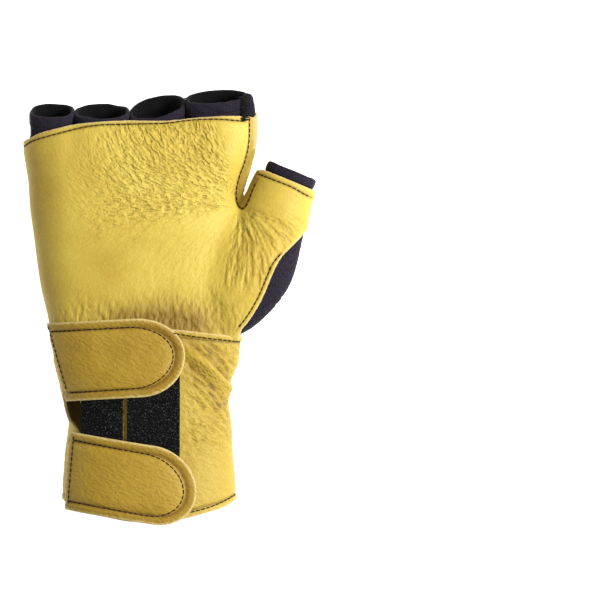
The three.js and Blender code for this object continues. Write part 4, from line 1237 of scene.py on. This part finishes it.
def build_hem(name, ring, turn, node, pleats=0.0):
    """ring(distance below the rim, angle, offset) gives places round one opening."""
    count, profile = HEM_SIDES, hem_profile()
    angle = np.linspace(0, 2 * np.pi, count, endpoint=False)[None]
    depth, offset = profile[:, :1], profile[:, 1:]
    pucker = noise(angle * 3.8, depth * 0.1, turn) - 0.5
    pleat = noise(angle * 8 + depth * 0.9, depth * 0.16, turn + 4) * np.maximum(0, np.sin(angle))
    share = np.exp(-(((depth - 3) / 4) ** 2))
    seam = 0.35 * np.exp(-(((depth - HEM_SEAM) / 0.6) ** 2)) * (offset > 0)
    out = offset + (0.6 * pucker - pleats * pleat) * share - seam
    sag = 0.8 * (noise(angle * 1.9, 0 * depth, turn + 2) - 0.5) * np.exp(-depth / 4)
    corners = ring(depth + sag, angle + 0 * depth, out).reshape(-1, 3)
    number = np.arange(len(profile) * count).reshape(len(profile), count)
    faces = outward(corners, ring_walls(np.vstack([number, number[:1]])))
    around = np.linspace(0, 2 * np.pi, 500)
    HEM_RINGS[name] = ring(HEM_SEAM + 0 * around, around, 0.3 + 0 * around)
    hem = make_object(name, *keep_skin(name, corners, faces))
    # The inner fold is marked for the knit's near-black tone, which is painted shade.
    note(hem, "inner_face", np.repeat(ease(-0.2, 0.7, -offset.ravel()) * (profile[:, 0] < 8), count))
    return stand_for(hem, "knit", node)


# %% [markdown]
# ### One hem for each opening
# A finger's hem follows its stall, and only the index finger's is pleated deeply. The thumb's hem
# is a ring at the end of its tube.

# %% Build the hems
hems = []
for turn, finger in enumerate(FINGERS):
    long = stall_length(finger)
    hems.append(build_hem(finger["name"] + "_folded_hem",
                          lambda d, a, o: stall_ring(finger, 1 - d / long, a, o), 20 + turn,
                          finger["name"] + "_hem", 1.5 if finger["name"] == "index" else 0.5))
hems.append(build_hem("thumb_folded_hem", lambda d, a, o: thumb_ring(-d, a, o), 25, "thumb_hem"))

# %% [markdown]
# ## The end of the index finger's side seam
# The knit's side seam ends at the index opening in a stiff little corner, which stands up beside
# the hem where the layers are folded over each other.

# %% The seam's stiff end
SEAM_END = dict(low=plan((51.8, 107.6))[0], high=plan((50.7, 120.6))[0],
                foot=3.6, top=2.5, thick=2.6, level=19.5)


def build_seam_end(name):
    """A flat folded corner between two points in plan, wider at its foot than at its top."""
    round_it = np.linspace(0, 2 * np.pi, 36, endpoint=False)
    u, turn = np.meshgrid(np.linspace(0, 1, 26), round_it, indexing="ij")
    core = SEAM_END["low"] + (SEAM_END["high"] - SEAM_END["low"]) * u[..., None]
    end = (1 - np.abs(2 * u - 1) ** 5) ** 0.5
    wide = mix(SEAM_END["foot"], SEAM_END["top"], u) * end + 0.3 * noise(u * 7, turn * 2, 61)
    x = core[..., 0] + wide * signed_power(np.cos(turn), 0.7)
    z = SEAM_END["level"] + 1.5 * u + SEAM_END["thick"] * end * signed_power(np.sin(turn), 0.8)
    corners = np.stack([x, core[..., 1] + 0 * x, z], -1).reshape(-1, 3)
    faces = outward(corners, ring_walls(np.arange(u.size).reshape(u.shape)))
    return stand_for(make_object(name, *keep_skin("seam_end", corners, faces)), "knit")


hems.append(build_seam_end("seam_end"))

# %% [markdown]
# ## Materials
# Each finish is built from noise, so nothing comes from a picture. Hide has a warm yellow with
# slow changes of tone, a fine pebbled grain and lighter, felted raw edges. Knit is a dark navy
# with fine ribs. Thread is a dark twist. Tape is black loops that swallow the light.

# %% Node helpers
class Finish:
    """A material under construction: add() makes a node and joins its inputs."""

    def __init__(self, name):
        self.material = bpy.data.materials.new(name)
        self.material.use_nodes = True
        self.tree = self.material.node_tree
        self.surface = self.tree.nodes["Principled BSDF"]

    def feed(self, socket, value):
        if isinstance(value, bpy.types.NodeSocket):
            self.tree.links.new(value, socket)
        else:
            socket.default_value = value

    def add(self, kind, settings=None, **inputs):
        """Inputs are named with _ for a space, or i0, i1 and so on by their number."""
        node = self.tree.nodes.new("ShaderNode" + kind)
        for key, value in (settings or {}).items():
            setattr(node, key, value)
        for key, value in inputs.items():
            numbered = key[0] == "i" and key[1:].isdigit()
            self.feed(node.inputs[int(key[1:]) if numbered else key.replace("_", " ")], value)
        return node

    def place(self):
        """Places on the piece itself, in metres."""
        return self.add("TexCoord").outputs["Object"]

    def moved(self, place, direction, length):
        """Places moved along a direction."""
        return self.add("VectorMath", dict(operation="MULTIPLY_ADD"), i0=direction,
                        i1=(length, length, length), i2=place).outputs[0]

    def noise(self, place, scale, detail=3.0, rough=0.55):
        node = self.add("TexNoise", Vector=place, Scale=scale, Detail=detail, Roughness=rough)
        return node.outputs[0]

    def marked(self, name, output="Fac"):
        return self.add("Attribute", dict(attribute_name=name)).outputs[output]

    def ramp(self, factor, *stops):
        node = self.add("ValToRGB", i0=factor)
        line = node.color_ramp
        while len(line.elements) < len(stops):
            line.elements.new(0.5)
        for element, (place, color) in zip(line.elements, stops):
            element.position = place
            element.color = (*color, 1)
        return node.outputs[0]

    def shape(self, factor, *stops):
        return self.ramp(factor, *[(place, (v, v, v)) for place, v in stops])

    def math(self, operation, a, b=0.0, c=0.0):
        return self.add("Math", dict(operation=operation), i0=a, i1=b, i2=c).outputs[0]

    def combed(self, flow, scale, reach, meander=0.0016, count=5):
        """Noise drawn out along a noted direction, over a reach in metres to both sides."""
        even, total = self.place(), 0.0
        drift = self.add("TexNoise", Vector=even, Scale=320.0, Detail=1.0).outputs[1]
        even = self.moved(even, drift, meander)
        for length in np.linspace(-reach, reach, count).tolist():
            place = self.moved(even, flow, length)
            total = self.math("ADD", total, self.noise(place, scale, 0.0))
        return self.math("MULTIPLY", total, 1 / count)

    def blend(self, mode, factor, a, b):
        node = self.add("Mix", dict(data_type="RGBA", blend_type=mode))
        for number, value in ((0, factor), (6, a), (7, b)):
            self.feed(node.inputs[number], value)
        return node.outputs[2]

    def bumped(self, height, distance, strength=1.0, normal=None):
        node = self.add("Bump", Strength=strength, Distance=distance, Height=height)
        if normal is not None:
            self.feed(node.inputs["Normal"], normal)
        return node.outputs[0]

    def set(self, **inputs):
        for key, value in inputs.items():
            self.feed(self.surface.inputs[key.replace("_", " ")], value)


# %% [markdown]
# ### Hide
# Grain hide is tanned, dyed and softened, so its tone drifts slowly over a hand's width and its
# pores break the light. Its finest wrinkles are too small for the mesh. They are noise drawn out
# along the direction noted at each corner, so they follow the relief, and their furrows are
# darkened as painted shade. The straps take darker, browner tones, partly their own cut of the
# hide and partly painted shade, and the cuff's tones lie between the two, darkened as painted
# shade against the key light.

# %% The yellow hides
# The straps' darker tones are partly their own browner hide and partly painted shade; the cuff's
# darker tones are painted shade against the key light, which falls fuller on it.
PALM_TONES = (0.59, 0.40, 0.046), (0.70, 0.515, 0.073), (0.77, 0.60, 0.10)
CUFF_TONES = (0.46, 0.30, 0.030), (0.53, 0.365, 0.041), (0.58, 0.42, 0.055)
STRAP_TONES = (0.38, 0.22, 0.015), (0.455, 0.285, 0.023), (0.505, 0.33, 0.034)
RAW_TONES = (0.50, 0.36, 0.11), (0.78, 0.60, 0.25)
PAINTED_SHADE_TINT, FLESH_TONE = (0.42, 0.34, 0.24, 1), (0.20, 0.125, 0.035, 1)
LINE_SCALE, LINE_REACH, LINE_PAINTED_SHADE, LINE_DEPTH = 800.0, 0.0010, 0.208, 0.00056


def yellow_hide(name, dark, middle, light):
    """Hide in three tones of one colour, with fine lines, painted shade, raw edges and a brown
    inner face.
    """
    hide = Finish(name)
    even = hide.place()
    slow = hide.noise(even, 26.0, 4.0)
    speck = hide.noise(even, 700.0, 3.0)
    tone = hide.ramp(slow, (0.25, dark), (0.5, middle), (0.8, light))
    tone = hide.blend("MULTIPLY", 0.35, tone, hide.shape(speck, (0.35, 0.78), (0.65, 1.0)))
    drawn = hide.combed(hide.marked("flow", "Vector"), LINE_SCALE, LINE_REACH)
    furrow = hide.shape(drawn, (0.40, 1.0), (0.47, 0.45), (0.58, 0.0))
    furrow = hide.math("MULTIPLY", furrow, hide.marked("lines"))
    # Painted shade: the furrows of the fine lines and the noted shade darken the tone towards a
    # warm brown.
    deep = hide.math("MULTIPLY_ADD", furrow, LINE_PAINTED_SHADE, hide.marked("shade"))
    tone = hide.blend("MULTIPLY", deep, tone, PAINTED_SHADE_TINT)
    felt = hide.noise(even, 2200.0, 2.0)
    raw_tone = hide.ramp(felt, (0.3, RAW_TONES[0]), (0.7, RAW_TONES[1]))
    tone = hide.blend("MIX", hide.marked("raw"), tone, raw_tone)
    tone = hide.blend("MIX", hide.marked("inner_face"), tone, FLESH_TONE)
    pores = hide.add("TexVoronoi", dict(feature="SMOOTH_F1"), Vector=even, Scale=1250.0).outputs[0]
    normal = hide.bumped(pores, 0.00016, 0.7)
    normal = hide.bumped(hide.math("SUBTRACT", 1.0, furrow), LINE_DEPTH, 1.0, normal)
    normal = hide.bumped(felt, 0.0002, 0.35, normal)
    hide.set(Base_Color=tone, Roughness=0.55, Normal=normal, Sheen_Weight=0.05,
             Specular_IOR_Level=0.35)
    return hide


hide = yellow_hide("yellow_hide", *PALM_TONES)
cuff_hide = yellow_hide("wrist_yellow_hide", *CUFF_TONES)
strap_hide = yellow_hide("strap_hide_browner_and_shaded", *STRAP_TONES)

# %% [markdown]
# ### Knit
# The knit is a fine rib, so its loops stand in rows along the hand. Its inside lies in the
# dark, and the hems' inner folds take a near-black tone, which is painted shade.

# %% The navy knit
KNIT_TONES = (0.0065, 0.005, 0.0095), (0.025, 0.0195, 0.034)
# KNIT_INSIDE is painted shade for the hems' inner folds.
KNIT_INSIDE = (0.0022, 0.002, 0.0026, 1)
cloth = Finish("navy_knit")
even = cloth.place()
rib = cloth.add("TexWave", dict(wave_type="BANDS", bands_direction="X"), Vector=even, Scale=420.0,
                Distortion=2.0, Detail=1.0).outputs[0]
loops = cloth.noise(even, 1500.0, 2.0)
weave = cloth.math("ADD", cloth.math("MULTIPLY", rib, 0.45), loops)
tone = cloth.ramp(weave, (0.35, KNIT_TONES[0]), (1.0, KNIT_TONES[1]))
tone = cloth.blend("MIX", cloth.marked("inner_face"), tone, KNIT_INSIDE)
cloth.set(Base_Color=tone, Roughness=0.9, Normal=cloth.bumped(weave, 0.0002, 0.6),
          Sheen_Weight=0.03, Specular_IOR_Level=0.2)

# %% [markdown]
# ### Thread and tape
# Sewing thread is plied, which shows as slanted bands. Loop tape is a dull black cloth whose
# loops catch the light at their tips, painted as grey specks in its colour. The finishes then go
# onto the pieces built above.

# %% Thread and tape
def twisted_thread(name, dark, light):
    thread = Finish(name)
    ply = thread.add("TexWave", dict(wave_type="BANDS", bands_direction="DIAGONAL"),
                     Vector=thread.place(), Scale=900.0, Distortion=0.5).outputs[0]
    thread.set(Base_Color=thread.ramp(ply, (0.1, dark), (0.9, light)), Roughness=0.8,
               Normal=thread.bumped(ply, 0.00015, 0.6), Specular_IOR_Level=0.2)
    return thread


thread = twisted_thread("dark_thread", (0.006, 0.004, 0.002), (0.022, 0.013, 0.006))
black_thread = twisted_thread("black_thread", (0.002, 0.002, 0.002), (0.010, 0.009, 0.009))
tape = Finish("black_loop_tape")
fluff = tape.noise(tape.place(), 1500.0, 3.0, 0.7)
# The grey at the top of the ramp is a painted highlight on the loop tips.
black_loops = tape.ramp(fluff, (0.42, (0.001, 0.001, 0.001)), (0.58, (0.0035, 0.0032, 0.0032)),
                        (0.74, (0.20, 0.19, 0.185)))
tape.set(Base_Color=black_loops, Roughness=0.9, Normal=tape.bumped(fluff, 0.0008, 1.0),
         Specular_IOR_Level=0.15)


def dress(piece, finish):
    piece.data.materials.clear()
    piece.data.materials.append(finish.material)


for piece in (palm_leather, web_leather):
    dress(piece, hide)
dress(cuff, cuff_hide)
for piece in strap_pieces:
    dress(piece, strap_hide)
for piece in (knit, *hems):
    dress(piece, cloth)
for piece in tape_pieces:
    dress(piece, tape)
for name in ("upper_hook_tape", "lower_hook_tape"):
    dress(frame["nodes"][name], tape)


# %% [markdown]
# ## Stitches
# A lockstitch shows as short threads lying in a shallow groove, each diving into the leather at
# its ends. Every stitch is a small thread of its own, laid on the finished surface by looking
# straight down, or up for the back, along the seam line.

# %% Find the surface under a seam line
ABOVE_ALL, STITCH_STEP = 70.0, 0.15


def tree_of(*names):
    """Everything that a seam can lie on, as one searchable surface in mm."""
    points, faces, base = [], [], 0
    for name in names:
        p, f = SKINS[name]
        points.append(p)
        faces.append(f + base)
        base += len(p)
    return BVHTree.FromPolygons(np.concatenate(points).tolist(), np.concatenate(faces).tolist())


def run_of(points):
    return np.concatenate([[0], np.cumsum(np.linalg.norm(np.diff(points, axis=0), axis=1))])


def laid(line, tree, up=1):
    """A seam line in plan, dropped onto the surface: places and normals a short step apart."""
    line = np.asarray(line, float)
    run = run_of(line)
    s = np.arange(0, run[-1], STITCH_STEP)
    places, normals = [], []
    for x, y in zip(np.interp(s, run, line[:, 0]), np.interp(s, run, line[:, 1])):
        hit, normal, _, _ = tree.ray_cast(Vector((x, y, ABOVE_ALL * up)), Vector((0, 0, -up)))
        if hit is not None:
            places.append(hit)
            normals.append(normal if normal.z * up > 0 else -normal)
    return np.array(places).reshape(-1, 3), np.array(normals).reshape(-1, 3)


def around(ring):
    """A closed ring of places with normals that point away from its middle."""
    away = ring - ring.mean(0)
    tangent = np.gradient(ring, axis=0)
    tangent /= np.linalg.norm(tangent, axis=1, keepdims=True) + 1e-9
    away -= (away * tangent).sum(1, keepdims=True) * tangent
    return ring, away / np.linalg.norm(away, axis=1, keepdims=True)


SIDES, ENDS = 6, np.array([-1.0, -0.86, -0.5, 0, 0.5, 0.86, 1.0])
LEATHER_STITCH, KNIT_STITCH, STITCH_SPACE = 2.7, 1.8, 0.15


def sew(name, seams, length=LEATHER_STITCH, space=STITCH_SPACE, thick=0.32, slot="leather"):
    """One thread for each stitch along the seams, joined to one object."""
    corners, faces = [], []
    turn = np.linspace(0, 2 * np.pi, SIDES, endpoint=False)
    number = np.arange(len(ENDS) * SIDES).reshape(len(ENDS), SIDES)
    after = np.roll(number, -1, 1)
    walls = np.stack([number[:-1], after[:-1], after[1:], number[1:]], -1).reshape(-1, 4)
    for places, normals in seams:
        if len(places) < 10:
            continue
        run = run_of(places)
        for start in np.arange(space / 2, run[-1] - length, length + space):
            s = start + (ENDS + 1) / 2 * length
            core = np.stack([np.interp(s, run, places[:, k]) for k in range(3)], 1)
            normal = np.array([np.interp(start + length / 2, run, normals[:, k]) for k in range(3)])
            normal /= np.linalg.norm(normal)
            along = core[-1] - core[0]
            along /= np.linalg.norm(along) + 1e-9
            across = np.cross(normal, along)
            core = core + normal * (0.17 - 0.32 * ENDS[:, None] ** 4)
            radius = thick * np.sqrt(np.maximum(1 - np.abs(ENDS) ** 3, 0.12))
            ring = (core[:, None] + radius[:, None, None] * (np.cos(turn)[:, None] * across
                                                             + np.sin(turn)[:, None] * normal))
            base = len(corners)
            faces += (walls + base).tolist()
            faces += [(number[0] + base)[::-1].tolist(), (number[-1] + base).tolist()]
            corners += ring.reshape(-1, 3).tolist()
    seam = make_object(name, corners, faces)
    dress(seam, thread)
    return stand_for(seam, slot)


# %% [markdown]
# ### The seams of the palm side
# The palm hide is sewn down along its top edge, round the slot, over the thumb and along its
# lap at the thumb's root. The cuff has a row near each edge, and the straps a row all round.

# %% Seams of the palm side
palm_tree = tree_of("palm_hide", "cuff", "upper", "lower")
palm_sewing = [sew("palm_stitches", [laid(line, palm_tree) for line in PALM_SEAMS])]
cuff_seams = [smooth_line(plan((12.5, -4.2), (26.0, -6.2), (46.8, -8.6), (49.9, -8.3))),
              smooth_line(plan((21.3, -96.7), (31.2, -94.1), (39.0, -91.0), (44.7, -87.9)))]
strap_seams = [strap_outline(row, STRAP_MARGIN) for row in STRAPS] + list(ROOT_SEAMS.values())
cuff_sewing = [sew("cuff_stitches", [laid(line, palm_tree) for line in cuff_seams])]
sew("strap_stitches", [laid(line, palm_tree) for line in strap_seams])

# %% [markdown]
# ### The seams of the back and the hems
# The back is sewn from below. The cuff's rows keep the same margin as on the palm side, two
# rows of finer thread cross the knuckles, and each hem is held by a ring of knit stitches.

# %% Seams of the back
back_tree = tree_of("palm_hide", "web_hide", "cuff", "knit")
palm_sewing.append(sew("back_stitches",
                       [laid(line, back_tree, -1) for line in (lap_seam, web_seam)]))
back_angle = np.radians(np.linspace(200, 345, 400))
back_rows = []
for edge, shift in ((edge_top, -CUFF_ROW), (edge_bottom, CUFF_ROW)):
    y = -CUFF_LENGTH * edge(wrap_degrees(back_angle)) + shift
    x = section_point(cuff_section(y, CUFF_OUT), back_angle)[0]
    back_rows.append(np.stack([x, y], 1))
cuff_sewing.append(sew("cuff_back_stitches", [laid(line, back_tree, -1) for line in back_rows]))
knuckle_line = smooth_line(on_hand((-0.50, 0.900), (-0.22, 0.905), (0.04, 0.915), (0.30, 0.935)))
knuckle_rows = [laid(line, back_tree, -1) for line in (knuckle_line, knuckle_line + [0, 2.2])]
hem_rows = [around(ring) for ring in HEM_RINGS.values()]
knit_seams = [sew("knuckle_stitches", knuckle_rows, KNIT_STITCH, thick=0.16, slot="knit"),
              sew("hem_stitches", hem_rows, KNIT_STITCH, thick=0.17, slot="knit")]

# %% [markdown]
# ### The bar tack at the index finger
# Where the hem, the hide and the side seam meet beside the index finger, a dense bar of black
# thread locks them. It is a ladder of short threads laid across the joint, close together.

# %% The bar tacks
tack_tree = tree_of("palm_hide", "knit", "index_folded_hem", "middle_folded_hem", "seam_end")


def level_under(x, y):
    """The highest of three places side by side, so that a tack bridges small gaps."""
    hits = [tack_tree.ray_cast(Vector((x + dx, y, ABOVE_ALL)), Vector((0, 0, -1)))[0]
            for dx in (-1.5, 0, 1.5)]
    return max([hit.z for hit in hits if hit is not None], default=SPLIT)


def bar_tack(name, start, end, wide, thick=0.42, pitch=0.62):
    """Threads side by side across a short line in plan, heaped a little in their middle."""
    count = int(np.hypot(*(end - start)) / pitch)
    line = start + (end - start) * np.linspace(0, 1, count)[:, None]
    level = np.array([level_under(*place) for place in line])
    level = np.convolve(np.pad(level, 2, mode="edge"), np.ones(5) / 5, "valid")
    turn, across = np.linspace(0, 2 * np.pi, 8, endpoint=False), np.linspace(-1, 1, 9)
    corners, faces = [], []
    for k, (place, height) in enumerate(zip(line, level)):
        half = wide / 2 * (0.85 + 0.3 * noise(k * 0.9, 0.5, 63))
        uneven = 1.3 * (noise(k * 0.45, across * 1.4 + 2.5, 63) - 0.4)
        heap = height + 0.5 + uneven - 1.7 * across**4
        slope = (0.5 * (-1) ** k + 1.2 * (noise(k * 0.7, 4.5, 63) - 0.5)) * across
        radius = thick * np.sqrt(np.maximum(1 - across**6, 0.1))
        core = np.stack([place[0] + half * across, place[1] + slope, heap], 1)
        around_core = np.stack([0 * turn, np.cos(turn), np.sin(turn)], 1)
        ring = core[:, None] + radius[:, None, None] * around_core
        number = np.arange(ring.shape[0] * 8).reshape(-1, 8) + len(corners)
        faces += ring_walls(number)[:, ::-1].tolist()
        faces += [number[0].tolist(), number[-1][::-1].tolist()]
        corners += ring.reshape(-1, 3).tolist()
    tack = make_object(name, corners, faces)
    dress(tack, black_thread)
    return stand_for(tack, "knit")


bar_tack("index_bar_tack", *plan((48.6, 118.3), (49.1, 106.1)), 5.2)
bar_tack("fork_bar_tack", *plan((18.2, 117.8), (18.5, 115.4)), 2.2, 0.3, 0.5)

# %% [markdown]
# ## The flat cuts
# Every cloth and hide here began as a flat cut. These are the sizes of the cuts in metres, with
# the flat area where a cut is not a rectangle. They are estimates: lengths over the form from the
# named sizes, and the patch, the straps and the tapes set after a look at the finished skins. The
# print gives half the skin of each finished piece beside it, because a wall has two faces.

# %% The flat cuts
def cut(piece, area):
    skin = sum(face.area for face in piece.data.polygons) / 2
    print(f"{piece.name}: flat {area * 1e4:.0f} cm2, made {skin * 1e4:.0f} cm2")


cut(knit, 0.0400)
cut(palm_leather, 0.0200)
cut(web_leather, 0.0026)
cut(cuff, 0.0215)
for strap in strap_pieces:
    cut(strap, 0.0027)
TAPE_CUT_LENGTH, TAPE_CUT_WIDTHS = 0.0863, (0.0225, 0.0268)
for tape_piece, wide in zip(tape_pieces, TAPE_CUT_WIDTHS):
    cut(tape_piece, wide * TAPE_CUT_LENGTH)

# %% [markdown]
# ## Floor, light and camera
# The glove is shown on plain white from straight above with a long lens, lit from the thumb's
# side, so its other flank falls into a warm shade, deepened by painted shade on the palm hide. The
# floor glows a little, as a light table does, so that it stays white under the glove's own shadow.

# %% Stage
FLOOR_DROP, FLOOR_GLOW, ROOM_LIGHT = 0.0002, 0.9, 0.38
bpy.ops.mesh.primitive_plane_add(size=6, location=(0, 0, -FLOOR_DROP))
floor = bpy.context.object
floor.name = "white_floor"
white = Finish("white_floor_paint")
white.set(Base_Color=(0.9, 0.9, 0.9, 1), Roughness=0.9, Emission_Color=(1, 1, 1, 1),
          Emission_Strength=FLOOR_GLOW)
dress(floor, white)
world = bpy.data.worlds.new("soft_room")
world.use_nodes = True
world.node_tree.nodes["Background"].inputs[0].default_value = (1, 1, 1, 1)
world.node_tree.nodes["Background"].inputs[1].default_value = ROOM_LIGHT
bpy.context.scene.world = world


def lamp(name, place, size, power):
    """A round soft light that looks at the glove's middle."""
    data = bpy.data.lights.new(name, "AREA")
    data.shape, data.size, data.energy = "DISK", size, power
    light = bpy.data.objects.new(name, data)
    light.location = place
    light.rotation_euler = (-Vector(place)).to_track_quat("-Z", "Y").to_euler()
    bpy.context.collection.objects.link(light)


lamp("key_light", (0.82, 0.18, 0.82), 0.35, 16.0)

# %% [markdown]
# ### Camera
# A long lens from high above flattens the glove as in a catalogue picture. The wrist line's
# middle is put where the photograph shows it, so that both lie alike in the frame.

# %% Camera straight above, as a long lens sees it
VIEW_PIXELS, PIXEL, WRIST_PIXEL = 608, 0.52 * MM, (150, 325)
CAMERA_HEIGHT, GLOVE_LEVEL, SENSOR = 2.4, 0.02, 36
camera_data = bpy.data.cameras.new("camera")
camera_data.sensor_width = SENSOR
camera_data.lens = SENSOR * (CAMERA_HEIGHT - GLOVE_LEVEL) / (VIEW_PIXELS * PIXEL)
camera = bpy.data.objects.new("camera", camera_data)
camera.location = (SHIFT[0] * MM + (VIEW_PIXELS / 2 - WRIST_PIXEL[0]) * PIXEL,
                   SHIFT[1] * MM - (VIEW_PIXELS / 2 - WRIST_PIXEL[1]) * PIXEL, CAMERA_HEIGHT)
bpy.context.collection.objects.link(camera)
bpy.context.scene.camera = camera
bpy.context.scene.view_settings.view_transform = "Standard"

# %% [markdown]
# ## The imported model's box
# The finished glove is built to the imported model's box, but for its soft relief. The box of
# the imported model is printed.

# %% The imported model's box
print("box of the frame:", [[round(v, 4) for v in p] for p in CAD_BOX])
